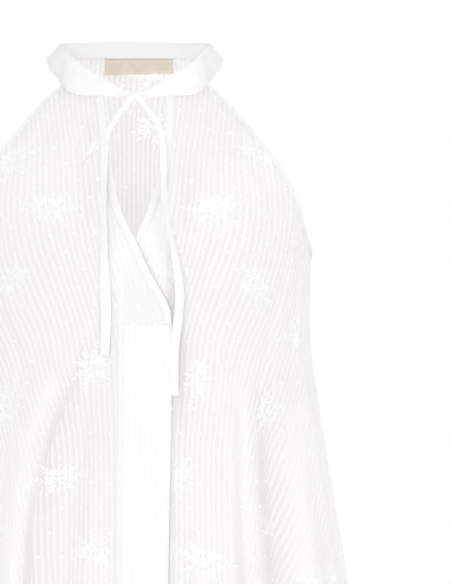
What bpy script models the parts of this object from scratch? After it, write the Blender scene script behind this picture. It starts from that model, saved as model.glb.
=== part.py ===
"""Sleeveless halter-neck top with a tied stand collar, a V slit and a flared, dipping hem.

It stands in the shape it takes when worn: open neck, open armholes, hollow body. The front
faces -Y, the wearer's left is +X and up is +Z. The origin is the middle of the neck, level
with the seam of the collar at the back. Sizes here are in millimetres and go to metres once,
where the meshes are made.
"""
import math

import bpy
from mathutils import Vector

TOP_NAME = "halter_top"
METRES = 0.001

# Cloth thicknesses and the gaps that keep touching pieces apart
WALL = 1.2
BAND_WALL = 1.0
COLLAR_WALL = 1.6
SEAM_GAP = 0.3
COLLAR_GAP = 0.55

# Heights of the main levels, and the fall of the hem from front to back
UNDERARM_Z = -182.0
PLACKET_TOP_Z = -243.4
HEM_FRONT_Z = -570.0
HEM_BACK_Z = -690.0

# How far the wearer's left front tucks in below the right one
UNDERLAP_DEPTH = 4.0
UNDERLAP_FULL_X = 40.0
UNDERLAP_END_X = 64.0
UNDERLAP_START_Z = -60.0
UNDERLAP_FULL_Z = -125.0

SLIT_BAND_WIDTH = 6.0
ARMHOLE_BAND_WIDTH = 5.0
ARMHOLE_BAND_GAP = 0.5
TAIL_CLEARANCE = 3.0
LABEL = {"left": -27.6, "right": 35.0, "top": -1.2, "height": 12.4, "thickness": 1.0}
KNOT = {"centre": (0.0, -73.9, -42.9), "half": (9.9, 4.8, 5.2)}

# Grid counts
FRONT_SIDE_COLUMNS = 18
FRONT_EDGE_COLUMNS = 3
BACK_COLUMNS = 32
UPPER_ROWS = 14
LOWER_ROWS = 17
COLLAR_COLUMNS = 72
COLLAR_ROWS = 3
ARMHOLE_BAND_STEPS = 3
TAIL_ROWS = 30

# Body rings: half width and depth of the front half and of the back half at each height
RINGS = [
    # z, front_width, front_depth, back_width, back_depth
    (20, 75.0, 54.0, 75.0, 50.0),
    (0, 77.5, 58.0, 77.5, 60.0),
    (-8, 79.3, 60.0, 79.6, 64.8),
    (-15, 80.4, 62.0, 84.0, 69.0),
    (-30, 84.0, 68.0, 96.0, 77.5),
    (-45, 107.0, 74.0, 112.0, 85.0),
    (-60, 131.5, 84.0, 130.0, 92.0),
    (-75, 153.5, 94.0, 145.0, 96.5),
    (-90, 168.0, 103.0, 154.0, 100.0),
    (-105, 175.0, 111.0, 158.0, 103.0),
    (-120, 175.0, 117.0, 158.5, 105.0),
    (-135, 170.6, 122.0, 158.5, 106.5),
    (-150, 165.6, 126.0, 158.5, 107.5),
    (-166, 161.2, 129.0, 158.2, 108.0),
    (-182, 158.8, 131.0, 158.8, 108.5),
    (-210, 157.6, 132.0, 157.6, 108.5),
    (-240, 157.4, 133.0, 157.4, 109.0),
    (-283, 160.2, 134.5, 160.2, 111.0),
    (-340, 169.2, 138.0, 169.2, 115.0),
    (-400, 178.6, 143.0, 178.6, 121.0),
    (-473, 191.0, 150.0, 191.0, 130.0),
    (-570, 207.0, 160.0, 207.0, 143.0),
    (-700, 226.0, 173.0, 226.0, 161.0),
]

# Armhole edge, as the angle from the middle of the front and from the middle of the back
ARMHOLE = [
    # z, front_angle, back_angle
    (0, 56.0, 52.0),
    (-15, 54.0, 47.5),
    (-30, 51.5, 45.0),
    (-45, 48.6, 43.4),
    (-60, 45.1, 42.4),
    (-75, 43.3, 43.2),
    (-90, 44.0, 44.8),
    (-105, 47.0, 48.5),
    (-120, 51.4, 53.2),
    (-135, 57.4, 58.8),
    (-150, 63.8, 64.8),
    (-160, 68.6, 69.4),
    (-170, 75.2, 75.6),
    (-178, 82.6, 82.8),
    (-182, 90.0, 90.0),
    (-200, 90.0, 90.0),
]

# Edges near the front opening, as distances from the middle
OPENING = [
    # z, right_front_edge, placket_left, left_front_edge, left_front_inner
    (-30, -29.0, -42.0, 27.6, 44.0),
    (-44, -28.0, -41.0, 27.2, 43.0),
    (-74, -24.4, -39.0, 27.0, 42.0),
    (-101, -21.7, -37.0, 23.6, 39.0),
    (-118, -18.6, -35.0, 19.0, 36.0),
    (-145, -12.1, -30.0, 10.2, 32.0),
    (-170, 0.0, -24.0, 0.0, 29.0),
    (-196, 12.0, -18.5, -8.5, 28.0),
    (-213, 21.4, -15.5, -11.8, 28.0),
    (-229, 29.6, -14.2, -13.2, 28.0),
    (-243.4, 31.7, -13.7, -13.7, 28.0),
    (-307, 31.2, -14.1, -14.1, 28.0),
    (-464, 28.1, -15.3, -15.3, 26.0),
    (-600, 27.4, -16.0, -16.0, 25.0),
]

# Collar: the height of its seam, and its upper edge, by the angle from the middle of the front
COLLAR = [
    # angle, seam_z, top_x, top_y, top_z
    (5, -44.2, 8.6, -72.0, -38.0),
    (10, -43.8, 17.6, -68.2, -32.0),
    (15, -43.2, 27.3, -61.5, -25.7),
    (27, -42.2, 40.0, -53.5, -20.0),
    (36, -38.9, 50.5, -43.0, -14.8),
    (44, -34.5, 55.6, -35.0, -9.6),
    (52, -30.0, 60.6, -26.0, -3.6),
    (71, -17.0, 65.8, -12.0, 3.8),
    (90, -6.5, 68.6, 4.0, 7.8),
    (110, -4.2, 66.0, 22.0, 10.2),
    (129, -3.0, 55.0, 37.0, 12.0),
    (150, -1.2, 33.0, 47.5, 13.3),
    (180, 0.0, 0.0, 51.0, 13.9),
]

# Folds: ridges (above zero) and troughs (below), each along a line that runs down the cloth
FOLDS = [
    # angle_top, angle_hem, z_top, fade, half_width, height
    (-13.0, -27.0, -235, 130, 5.0, -9.0),
    (-30.0, -37.0, -250, 150, 6.0, 8.0),
    (-50.0, -53.0, -300, 160, 7.0, -7.0),
    (-66.0, -66.0, -260, 200, 6.0, 6.0),
    (38.0, 29.0, -270, 180, 5.0, 6.0),
    (45.0, 38.5, -285, 130, 5.0, -9.0),
    (57.0, 51.0, -320, 150, 6.0, 7.0),
    (66.0, 66.0, -215, 140, 5.0, 5.0),
    (77.0, 76.0, -280, 120, 5.0, -7.0),
    (106.0, 104.0, -260, 180, 6.0, 7.0),
    (122.0, 119.0, -250, 190, 6.0, -8.0),
    (139.0, 136.0, -220, 230, 6.5, 8.0),
    (156.0, 153.0, -210, 230, 6.0, -8.0),
    (174.0, 172.0, -190, 260, 7.0, 7.0),
    (193.0, 190.0, -210, 240, 6.5, -9.0),
    (209.0, 208.0, -230, 220, 6.5, 8.0),
    (226.0, 226.0, -240, 200, 6.0, -7.0),
    (243.0, 244.0, -260, 190, 6.5, 8.0),
    (258.0, 259.0, -290, 160, 5.0, -5.0),
    (-8.0, -10.0, -60, 60, 3.5, -1.6),
    (24.0, 20.0, -70, 70, 3.5, -1.8),
]

# Tie tails: their middle line and breadth, from the knot down
RIGHT_TAIL = [
    # z, x, breadth
    (-50.9, -5.2, 6.0),
    (-56.2, -12.2, 6.8),
    (-63.5, -19.6, 7.2),
    (-75.0, -24.6, 7.0),
    (-92.0, -26.1, 6.4),
    (-118.0, -26.8, 5.4),
    (-142.0, -26.8, 3.8),
    (-165.0, -26.7, 5.0),
    (-190.0, -26.3, 7.4),
    (-213.5, -25.7, 9.4),
    (-239.0, -24.8, 8.6),
    (-260.0, -25.7, 8.0),
    (-270.0, -26.1, 8.0),
]
LEFT_TAIL = [
    # z, x, breadth
    (-50.6, 4.6, 5.4),
    (-55.2, 9.0, 6.0),
    (-61.0, 14.4, 6.0),
    (-69.0, 19.6, 6.2),
    (-84.0, 23.6, 6.2),
    (-105.0, 24.4, 6.0),
    (-131.0, 25.0, 5.2),
    (-155.0, 28.4, 4.4),
    (-173.0, 31.8, 5.2),
    (-192.0, 35.2, 6.6),
    (-213.5, 37.7, 7.6),
    (-231.0, 37.3, 7.6),
    (-247.0, 35.2, 7.8),
    (-265.0, 33.4, 8.2),
    (-304.0, 32.8, 8.6),
]


def clear_scene():
    for item in list(bpy.data.objects):
        bpy.data.objects.remove(item, do_unlink=True)


def read_table(rows, column, key):
    """Value of one column at a key, on a smooth curve through the rows."""
    keys = [row[0] for row in rows]
    falling = keys[-1] < keys[0]
    place = -key if falling else key
    marks = [-k for k in keys] if falling else keys
    if place <= marks[0]:
        return rows[0][column]
    if place >= marks[-1]:
        return rows[-1][column]
    i = next(n for n in range(len(marks) - 1) if marks[n + 1] >= place)
    slopes = []
    for n in (i, i + 1):
        low, high = max(n - 1, 0), min(n + 1, len(marks) - 1)
        slopes.append((rows[high][column] - rows[low][column]) / (marks[high] - marks[low]))
    span = marks[i + 1] - marks[i]
    t = (place - marks[i]) / span
    start, end = rows[i][column], rows[i + 1][column]
    return ((2 * t ** 3 - 3 * t ** 2 + 1) * start + (t ** 3 - 2 * t ** 2 + t) * span * slopes[0]
            + (3 * t ** 2 - 2 * t ** 3) * end + (t ** 3 - t ** 2) * span * slopes[1])


def ease(value, start, end):
    t = min(max((value - start) / (end - start), 0.0), 1.0)
    return t * t * (3 - 2 * t)


def mix(a, b, t):
    return a + (b - a) * t


def hem_z(angle):
    middle = (HEM_FRONT_Z + HEM_BACK_Z) / 2
    return middle + (HEM_FRONT_Z - middle) * math.cos(math.radians(angle))


def fold_height(angle, z):
    """How far the folds lift the cloth at a place on it."""
    turn = (angle + 90.0) % 360.0 - 90.0
    total = 0.0
    for angle_top, angle_hem, z_top, fade, half_width, height in FOLDS:
        if z >= z_top:
            continue
        line = mix(angle_top, angle_hem, (z_top - z) / (z_top - HEM_BACK_Z))
        across = (turn - line) / half_width
        total += height * ease(z_top - z, 0.0, fade) * math.exp(-across * across)
    return total


def body_point(angle, z):
    """A point on the cloth's outer face: angle 0 is the middle of the front, 90 the left side."""
    turn = math.radians(angle)
    front = math.cos(turn) >= 0
    width = read_table(RINGS, 1 if front else 3, z)
    depth = read_table(RINGS, 2 if front else 4, z)
    across, along = math.sin(turn), math.cos(turn)
    normal = Vector((across / width, -along / depth, 0.0)).normalized()
    return Vector((width * across, -depth * along, z)) + normal * fold_height(angle, z)


def body_normal(angle, z):
    step = 0.5
    around = body_point(angle + step, z) - body_point(angle - step, z)
    down = body_point(angle, z - step) - body_point(angle, z + step)
    return down.cross(around).normalized()


def angle_at(x, z):
    """Angle of the front cloth at a distance from the middle."""
    return math.degrees(math.asin(x / read_table(RINGS, 1, z)))


def seam_z(angle):
    turn = abs((angle + 180.0) % 360.0 - 180.0)
    return read_table(COLLAR, 1, turn)


def row_heights(top, hem):
    upper = [mix(top, UNDERARM_Z, n / UPPER_ROWS) for n in range(UPPER_ROWS)]
    lower = [mix(UNDERARM_Z, hem, n / LOWER_ROWS) for n in range(LOWER_ROWS + 1)]
    return upper + lower


def panel_grid(angle_of, column_count):
    """Rows of points between the collar seam and the hem; angle_of(column, z) places a column."""
    columns = []
    for column in range(column_count + 1):
        top = -40.0
        for _ in range(8):
            top = seam_z(angle_of(column, top))
        heights = row_heights(top, hem_z(angle_of(column, HEM_FRONT_Z)))
        columns.append([(angle_of(column, z), z) for z in heights])
    return [list(row) for row in zip(*columns)]


def front_columns(outer_angle, inner_angle, edge_angle, column):
    """Angle of a column that starts at the side and ends at the front opening's edge."""
    if column <= FRONT_SIDE_COLUMNS:
        return mix(outer_angle, inner_angle, column / FRONT_SIDE_COLUMNS)
    return mix(inner_angle, edge_angle, (column - FRONT_SIDE_COLUMNS) / FRONT_EDGE_COLUMNS)


def seam_turn(z):
    """Half of the side seam's gap, as an angle."""
    return math.degrees(SEAM_GAP / 2 / read_table(RINGS, 2, z))


def right_front_angle(column, z):
    side = -read_table(ARMHOLE, 1, z) + seam_turn(z)
    inner = angle_at(read_table(OPENING, 2, z), z)
    edge = angle_at(read_table(OPENING, 1, z), z)
    return front_columns(side, inner, edge, column)


def left_front_angle(column, z):
    side = read_table(ARMHOLE, 1, z) - seam_turn(z)
    inner = angle_at(read_table(OPENING, 4, z), z)
    edge = angle_at(read_table(OPENING, 3, z), z)
    return front_columns(side, inner, edge, FRONT_SIDE_COLUMNS + FRONT_EDGE_COLUMNS - column)


def back_angle(column, z):
    half = read_table(ARMHOLE, 2, z) - seam_turn(z)
    return 180.0 + mix(-half, half, column / BACK_COLUMNS)


def underlap(point):
    across = ease(-point.x, -UNDERLAP_END_X, -UNDERLAP_FULL_X)
    return UNDERLAP_DEPTH * across * ease(-point.z, -UNDERLAP_START_Z, -UNDERLAP_FULL_Z)


def place(grid, out=0.0, tucked=False):
    """Points of a grid of (angle, z) pairs, moved out from the cloth's outer face."""
    rows = []
    for row in grid:
        points = []
        for angle, z in row:
            point = body_point(angle, z)
            inward = underlap(point) if tucked else 0.0
            points.append(point + body_normal(angle, z) * (out - inward))
        rows.append(points)
    return rows


def cloth_material(name, colour, roughness, sheen=0.0):
    material = bpy.data.materials.new(name)
    material.use_nodes = True
    shader = material.node_tree.nodes["Principled BSDF"]
    shader.inputs["Base Color"].default_value = (*colour, 1.0)
    shader.inputs["Roughness"].default_value = roughness
    shader.inputs["Metallic"].default_value = 0.0
    shader.inputs["Sheen Weight"].default_value = sheen
    material.diffuse_color = (*colour, 1.0)
    return material


def sheet_object(collection, name, rows, thickness, material):
    """A closed wall of cloth: the grid is its outer face and the thickness goes inwards."""
    count = len(rows[0])
    points = [tuple(point * METRES) for row in rows for point in row]
    faces = []
    for r in range(len(rows) - 1):
        for c in range(count - 1):
            first = r * count + c
            faces.append((first, first + count, first + count + 1, first + 1))
    mesh = bpy.data.meshes.new(name)
    mesh.from_pydata(points, [], faces)
    mesh.shade_smooth()
    mesh.materials.append(material)
    item = bpy.data.objects.new(name, mesh)
    collection.objects.link(item)
    solid = item.modifiers.new("cloth thickness", "SOLIDIFY")
    solid.thickness = thickness * METRES
    solid.offset = -1.0
    return item


def along_row(pairs, start, step, breadth):
    """Pair a given true breadth away from one end of a row of (angle, z) pairs."""
    total = 0.0
    index = start
    while True:
        here, following = pairs[index], pairs[index + step]
        length = (body_point(*following) - body_point(*here)).length
        if total + length >= breadth:
            t = (breadth - total) / length
            return mix(here[0], following[0], t), mix(here[1], following[1], t)
        total += length
        index += step


def edge_breadth(grid, row, column, step, breadth):
    """Distance along a row that spans a band of the given breadth beside a slanting edge."""
    before, after = max(row - 1, 0), min(row + 1, len(grid) - 1)
    along = body_point(*grid[after][column]) - body_point(*grid[before][column])
    across = body_point(*grid[row][column + step]) - body_point(*grid[row][column])
    sine = along.normalized().cross(across.normalized()).length
    return breadth / max(sine, 0.35)


def build_slit_band(collection, name, grid, column, step, tucked, material):
    """Narrow band that lies along one edge of the V slit, down to the placket."""
    last = next(n for n, row in enumerate(grid) if row[column][1] < PLACKET_TOP_Z)
    band = []
    for n in range(last):
        reach = edge_breadth(grid, n, column, step, SLIT_BAND_WIDTH)
        pair = [grid[n][column], along_row(grid[n], column, step, reach)]
        band.append(pair if step > 0 else pair[::-1])
    out = SEAM_GAP + BAND_WALL
    return sheet_object(collection, name, place(band, out, tucked), BAND_WALL, material)


def build_placket(collection, grid, material):
    """Wide flat band down the overlapping front, over the hidden fastening."""
    first = next(n for n, row in enumerate(grid) if row[-1][1] < PLACKET_TOP_Z)
    above, below = grid[first - 1], grid[first]
    columns = range(FRONT_SIDE_COLUMNS, FRONT_SIDE_COLUMNS + FRONT_EDGE_COLUMNS + 1)
    top = []
    for c in columns:
        share = (PLACKET_TOP_Z - above[c][1]) / (below[c][1] - above[c][1])
        top.append((mix(above[c][0], below[c][0], share), PLACKET_TOP_Z))
    rows = [top] + [[row[c] for c in columns] for row in grid[first:]]
    out = SEAM_GAP + WALL
    return sheet_object(collection, "placket", place(rows, out), WALL, material)


def refined(band, side):
    """The same band with steps between its rows, so that it bends with the cloth below."""
    turned = [[(angle - 360.0 if side < 0 and angle > 180.0 else angle, z) for angle, z in row]
              for row in band]
    rows = [turned[0]]
    for before, after in zip(turned, turned[1:]):
        for n in range(1, ARMHOLE_BAND_STEPS + 1):
            t = n / ARMHOLE_BAND_STEPS
            rows.append([(mix(a[0], b[0], t), mix(a[1], b[1], t)) for a, b in zip(before, after)])
    return rows


def build_armhole_band(collection, name, front, back, side, material):
    """Narrow band round one armhole: down the front, under the arm and up the back."""
    front_column, back_column = (0, BACK_COLUMNS) if side < 0 else (len(front[0]) - 1, 0)
    band = []
    for n in range(UPPER_ROWS):
        reach = edge_breadth(front, n, front_column, -side, ARMHOLE_BAND_WIDTH)
        band.append([front[n][front_column], along_row(front[n], front_column, -side, reach)])
    under = side * 90.0
    band.append([(under, UNDERARM_Z), (under, UNDERARM_Z - ARMHOLE_BAND_WIDTH)])
    for n in reversed(range(UPPER_ROWS)):
        reach = edge_breadth(back, n, back_column, side, ARMHOLE_BAND_WIDTH)
        band.append([back[n][back_column], along_row(back[n], back_column, side, reach)])
    if side > 0:
        band = [pair[::-1] for pair in band]
    rows = place(refined(band, side), ARMHOLE_BAND_GAP + BAND_WALL)
    return sheet_object(collection, name, rows, BAND_WALL, material)


def collar_edges(angle):
    """Lower and upper edge of the collar at an angle."""
    turn = (angle + 180.0) % 360.0 - 180.0
    side = 1.0 if turn >= 0 else -1.0
    lower = body_point(angle, seam_z(angle))
    upper = Vector((side * read_table(COLLAR, 2, abs(turn)), read_table(COLLAR, 3, abs(turn)),
                    read_table(COLLAR, 4, abs(turn))))
    return lower + (upper - lower).normalized() * COLLAR_GAP, upper


def build_collar(collection, material):
    start = COLLAR[0][0]
    rows = [[] for _ in range(COLLAR_ROWS + 1)]
    for column in range(COLLAR_COLUMNS + 1):
        angle = mix(start, 360.0 - start, column / COLLAR_COLUMNS)
        lower, upper = collar_edges(angle)
        outward = body_normal(angle, seam_z(angle))
        for r in range(COLLAR_ROWS + 1):
            t = r / COLLAR_ROWS
            swell = 1.4 * math.sin(math.pi * t)
            rows[r].append(upper.lerp(lower, t) + outward * swell)
    return sheet_object(collection, "collar", rows, COLLAR_WALL, material)


def build_tail(collection, name, table, material):
    """Flat tie end that hangs from the knot over the front."""
    top, bottom = table[0][0], table[-1][0]
    heights = [mix(top, bottom, n / TAIL_ROWS) for n in range(TAIL_ROWS + 1)]
    centres = []
    for z in heights:
        angle = angle_at(read_table(table, 1, z), z)
        centres.append((body_point(angle, z) + body_normal(angle, z) * TAIL_CLEARANCE, angle, z))
    rows = []
    for n, (centre, angle, z) in enumerate(centres):
        before, after = centres[max(n - 1, 0)][0], centres[min(n + 1, TAIL_ROWS)][0]
        side = body_normal(angle, z).cross(before - after).normalized()
        half = side * read_table(table, 2, z) / 2
        if half.x < 0:
            half = -half
        rows.append([centre - half, centre + half])
    return sheet_object(collection, name, rows, BAND_WALL, material)


def build_knot(collection, material):
    """Small flat half-knot where the two ends of the collar cross."""
    bpy.ops.mesh.primitive_cube_add(size=2.0)
    item = bpy.context.active_object
    item.name = item.data.name = "tie_knot"
    for owner in list(item.users_collection):
        owner.objects.unlink(item)
    collection.objects.link(item)
    for vertex in item.data.vertices:
        size = [half * METRES for half in KNOT["half"]]
        vertex.co = [vertex.co[n] * size[n] + KNOT["centre"][n] * METRES for n in range(3)]
    item.data.shade_smooth()
    item.data.materials.append(material)
    soft = item.modifiers.new("soft edges", "SUBSURF")
    soft.levels = soft.render_levels = 2
    return item


def build_label(collection, material):
    """Blank woven neck label on the inside of the back, under the collar seam."""
    rows = []
    for r in range(3):
        z = LABEL["top"] - LABEL["height"] * r / 2
        row = []
        for c in range(13):
            x = mix(LABEL["right"], LABEL["left"], c / 12)
            angle = 180.0 - math.degrees(math.asin(x / read_table(RINGS, 3, z)))
            row.append((angle, z))
        rows.append(row)
    out = -(WALL + 2 * SEAM_GAP)
    return sheet_object(collection, "neck_label", place(rows, out), LABEL["thickness"], material)


def main():
    clear_scene()
    collection = bpy.data.collections.new(TOP_NAME)
    bpy.context.scene.collection.children.link(collection)
    voile = cloth_material("striped_voile", (0.90, 0.90, 0.885), 0.75, 0.2)
    plain = cloth_material("plain_batiste", (0.93, 0.93, 0.925), 0.7, 0.2)
    tie_cloth = cloth_material("tie_cloth", (0.95, 0.95, 0.95), 0.65, 0.2)
    label_weave = cloth_material("label_weave", (0.83, 0.68, 0.57), 0.6)

    front_columns_count = FRONT_SIDE_COLUMNS + FRONT_EDGE_COLUMNS
    right = panel_grid(right_front_angle, front_columns_count)
    left = panel_grid(left_front_angle, front_columns_count)
    back = panel_grid(back_angle, BACK_COLUMNS)
    sheet_object(collection, "front_right", place(right), WALL, voile)
    sheet_object(collection, "front_left", place(left, tucked=True), WALL, voile)
    sheet_object(collection, "back", place(back), WALL, voile)

    build_collar(collection, plain)
    build_placket(collection, right, plain)
    build_slit_band(collection, "slit_band_right", right, front_columns_count, -1, False, plain)
    build_slit_band(collection, "slit_band_left", left, 0, 1, True, plain)
    build_armhole_band(collection, "armhole_band_right", right, back, -1, plain)
    build_armhole_band(collection, "armhole_band_left", left, back, 1, plain)
    build_knot(collection, tie_cloth)
    build_tail(collection, "tie_tail_right", RIGHT_TAIL, tie_cloth)
    build_tail(collection, "tie_tail_left", LEFT_TAIL, tie_cloth)
    build_label(collection, label_weave)


main()
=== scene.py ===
"""Looks of the halter-neck top: its cloth panels, bands, collar, tie, embroidery, stitching,
label, light and camera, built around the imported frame."""
import math

import bpy
import numpy as np
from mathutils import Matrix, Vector


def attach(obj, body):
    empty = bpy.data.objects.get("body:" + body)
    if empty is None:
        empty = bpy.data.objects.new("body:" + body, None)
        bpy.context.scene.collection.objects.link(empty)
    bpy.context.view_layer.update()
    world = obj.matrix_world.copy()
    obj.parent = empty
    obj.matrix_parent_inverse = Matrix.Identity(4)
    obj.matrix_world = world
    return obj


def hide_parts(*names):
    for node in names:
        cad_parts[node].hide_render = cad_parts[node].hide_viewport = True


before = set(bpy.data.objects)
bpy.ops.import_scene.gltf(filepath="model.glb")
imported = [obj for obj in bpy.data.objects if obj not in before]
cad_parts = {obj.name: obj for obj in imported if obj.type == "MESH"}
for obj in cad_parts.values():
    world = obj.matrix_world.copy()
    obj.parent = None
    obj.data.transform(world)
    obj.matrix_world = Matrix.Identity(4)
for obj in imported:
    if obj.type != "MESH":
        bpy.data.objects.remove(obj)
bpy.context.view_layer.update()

METRES = 0.001

# Levels and sizes in millimetres, as the solids have them
UNDERARM_Z = -182.0
PLACKET_TOP_Z = -243.4
HEM_FRONT_Z = -570.0
HEM_BACK_Z = -690.0
UNDERLAP_DEPTH = 4.0
UNDERLAP_FULL_X = 40.0
UNDERLAP_END_X = 64.0
UNDERLAP_START_Z = -60.0
UNDERLAP_FULL_Z = -125.0
SLIT_BAND_WIDTH = 6.8
ARMHOLE_BAND_WIDTH = 5.0

# Thicknesses of the shells
SHELL = 0.7
BAND_SHELL = 0.6
COLLAR_SHELL = 1.5
TAIL_SHELL = 0.8
PLACKET_SHELL = 0.9
LABEL_SHELL = 0.5

# How far the bands, the placket and the tails stand off the cloth, and a flat tail's breadth
BAND_LIFT = 0.6
PLACKET_LIFT = 1.4
TAIL_LIFT = 1.7
TAIL_BREADTH = 7.0

# Width of a grid's rim row, as a share of its cell
RIM_SHARE = 0.05

# The right slit band's upper end, and how far the left one runs on under the placket
SLIT_TOP_X, SLIT_TOP_Z = -27.0, -42.0
SLIT_TUCK = 40.0

# Body rings: half width and depth of the front half and of the back half at each height
RINGS = [
    # z, front_width, front_depth, back_width, back_depth
    (20, 75, 54, 75, 50),
    (0, 77.5, 58, 77.5, 60),
    (-8, 79.3, 60, 79.6, 64.8),
    (-15, 80.4, 62, 84, 69),
    (-30, 84, 68, 96, 77.5),
    (-45, 107, 74, 112, 85),
    (-60, 131.5, 84, 130, 92),
    (-75, 153.5, 94, 145, 96.5),
    (-90, 168, 103, 154, 100),
    (-105, 175, 111, 158, 103),
    (-120, 175, 117, 158.5, 105),
    (-135, 170.6, 122, 158.5, 106.5),
    (-150, 165.6, 126, 158.5, 107.5),
    (-166, 161.2, 129, 158.2, 108),
    (-182, 158.8, 131, 158.8, 108.5),
    (-210, 157.6, 132, 157.6, 108.5),
    (-240, 157.4, 133, 157.4, 109),
    (-283, 160.2, 134.5, 160.2, 111),
    (-340, 169.2, 138, 169.2, 115),
    (-400, 178.6, 143, 178.6, 121),
    (-473, 191, 150, 191, 130),
    (-570, 207, 160, 207, 143),
    (-700, 226, 173, 226, 161),
]

# Armhole edge, as the angle from the middle of the front and from the middle of the back
ARMHOLE = [
    # z, front_angle, back_angle
    (0, 56, 52),
    (-15, 54, 47.5),
    (-30, 51.5, 45),
    (-45, 48.6, 43.4),
    (-60, 45.1, 42.4),
    (-75, 43.3, 43.2),
    (-90, 44, 44.8),
    (-105, 47, 48.5),
    (-120, 51.4, 53.2),
    (-135, 57.4, 58.8),
    (-150, 63.8, 64.8),
    (-160, 68.6, 69.4),
    (-170, 75.2, 75.6),
    (-178, 82.6, 82.8),
    (-182, 90, 90),
    (-200, 90, 90),
]

# Edges near the front opening, as distances from the middle
OPENING = [
    # z, right_front_edge, placket_left, left_front_edge, left_front_inner
    (-30, -29, -42, 27.6, 44),
    (-44, -28, -41, 27.2, 43),
    (-74, -24.4, -39, 27, 42),
    (-101, -21.7, -37, 23.6, 39),
    (-118, -18.6, -35, 19, 36),
    (-145, -12.1, -30, 10.2, 32),
    (-170, 0, -24, 0, 29),
    (-196, 12, -18.5, -8.5, 28),
    (-213, 21.4, -15.5, -11.8, 28),
    (-229, 29.6, -14.2, -13.2, 28),
    (-243.4, 31.7, -13.7, -13.7, 28),
    (-307, 31.2, -14.1, -14.1, 28),
    (-464, 28.1, -15.3, -15.3, 26),
    (-600, 27.4, -16, -16, 25),
]

# Collar: the height of its seam, and its upper edge, by the angle from the middle of the front
COLLAR = [
    # angle, seam_z, top_x, top_y, top_z
    (5, -44.2, 8.6, -72, -38),
    (10, -43.8, 17.6, -68.2, -33),
    (15, -43.2, 27.3, -61.5, -26),
    (27, -42.2, 40, -53.5, -19.2),
    (36, -38.9, 49.8, -43, -12.2),
    (44, -34.5, 54.6, -35, -6.8),
    (52, -30, 59, -26, -2.6),
    (71, -17, 64.4, -12, 4.6),
    (90, -6.5, 68.6, 4, 7.8),
    (110, -4.2, 66, 22, 10.2),
    (129, -3, 55, 37, 12),
    (150, -1.2, 33, 47.5, 13.3),
    (180, 0, 0, 51, 13.9),
]

# Relief drawn on the collar by the tie: along the collar by angle, down it from 0 to 1
COLLAR_RELIEF = [
    # angle, level, spread, rise, height
    (31, 0.10, 11, 0.10, 0.6),
    (30, 0.28, 9, 0.09, -1.1),
    (25, 0.60, 6, 0.17, -1.7),
    (31, 0.88, 9, 0.11, 1.2),
    (48, 0.50, 4.5, 0.45, 1.1),
    (61, 0.55, 7, 0.45, -1),
    (90, 0.95, 5, 0.30, 1.1),
    (14, 0.42, 3.2, 0.22, 1),
    (10.5, 0.70, 2.4, 0.25, -0.8),
    (17.5, 0.80, 2.4, 0.25, -0.7),
    (127, 0.40, 7, 0.50, 0.5),
    (160, 0.60, 8, 0.50, -0.4),
]

# Folds: ridges (above zero) and troughs (below), each along a line that runs down the cloth
FOLDS = [
    # angle_top, angle_hem, z_top, fade, half_width, height
    (-13, -27, -235, 130, 5, -9),
    (-30, -37, -250, 150, 6, 8),
    (-50, -53, -300, 160, 7, -7),
    (-66, -66, -260, 200, 6, 6),
    (38, 29, -270, 180, 5, 6),
    (45, 38.5, -285, 130, 5, -9),
    (57, 51, -320, 150, 6, 7),
    (66, 66, -215, 140, 5, 5),
    (77, 76, -280, 120, 5, -7),
    (106, 104, -260, 180, 6, 7),
    (122, 119, -250, 190, 6, -8),
    (139, 136, -220, 230, 6.5, 8),
    (156, 153, -210, 230, 6, -8),
    (174, 172, -190, 260, 7, 7),
    (193, 190, -210, 240, 6.5, -9),
    (209, 208, -230, 220, 6.5, 8),
    (226, 226, -240, 200, 6, -7),
    (243, 244, -260, 190, 6.5, 8),
    (258, 259, -290, 160, 5, -5),
    (-8, -10, -60, 60, 3.5, -1.6),
    (24, 20, -70, 70, 3.5, -1.8),
]

# Creases: short soft ridges and troughs that fade at both ends
CREASES = [
    # angle_top, angle_low, z_top, z_low, half_width, height
    (-19, -14.5, -46, -150, 1.8, -1.3),
    (-24, -22, -44, -105, 1.6, 0.8),
    (-31, -30, -42, -98, 1.7, -0.9),
    (-37, -34, -40, -120, 1.8, 0.8),
    (-43.5, -38, -37, -130, 1.8, -0.9),
    (19, 14.5, -46, -160, 1.8, -1.3),
    (25, 22, -44, -112, 1.6, 0.8),
    (32, 30, -42, -96, 1.7, -0.9),
    (38.5, 33, -39, -128, 1.8, 0.9),
    (44.5, 39, -36, -122, 1.8, -0.8),
    (-60, -34, -165, -300, 2.6, -1.6),
    (-70, -52, -185, -330, 2.4, 1.4),
    (62, 40, -160, -310, 2.6, -1.6),
    (74, 58, -180, -300, 2.4, 1.6),
    (-16, -21, -268, -420, 1.4, 1.5),
    (-33, -31, -330, -520, 2, -1.6),
    (52, 45, -350, -560, 2.2, -1.8),
    (20, 18, -330, -540, 1.8, -1.2),
    (1, 6, -178, -238, 0.9, 0.7),
    (6.8, 2.6, -196, -246, 0.9, -0.7),
    (-2, 2.4, -205, -250, 0.9, 0.6),
    (9.4, 7.6, -208, -252, 0.8, 0.6),
    (4, 9.6, -172, -214, 0.8, -0.5),
    (136, 150, -10, -120, 2.4, -1),
    (150, 156, -6, -90, 2, 0.8),
    (168, 170, -4, -140, 2.2, -0.9),
    (188, 189, -4, -95, 2, 0.8),
    (205, 200, -6, -130, 2.2, -1),
    (222, 208, -8, -110, 2.4, 0.9),
    (110, 130, -180, -330, 2.6, -1.5),
    (250, 232, -170, -320, 2.6, -1.5),
    (165, 178, -240, -430, 2.6, 1.4),
    (200, 196, -300, -520, 2.2, -1.4),
]

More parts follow.
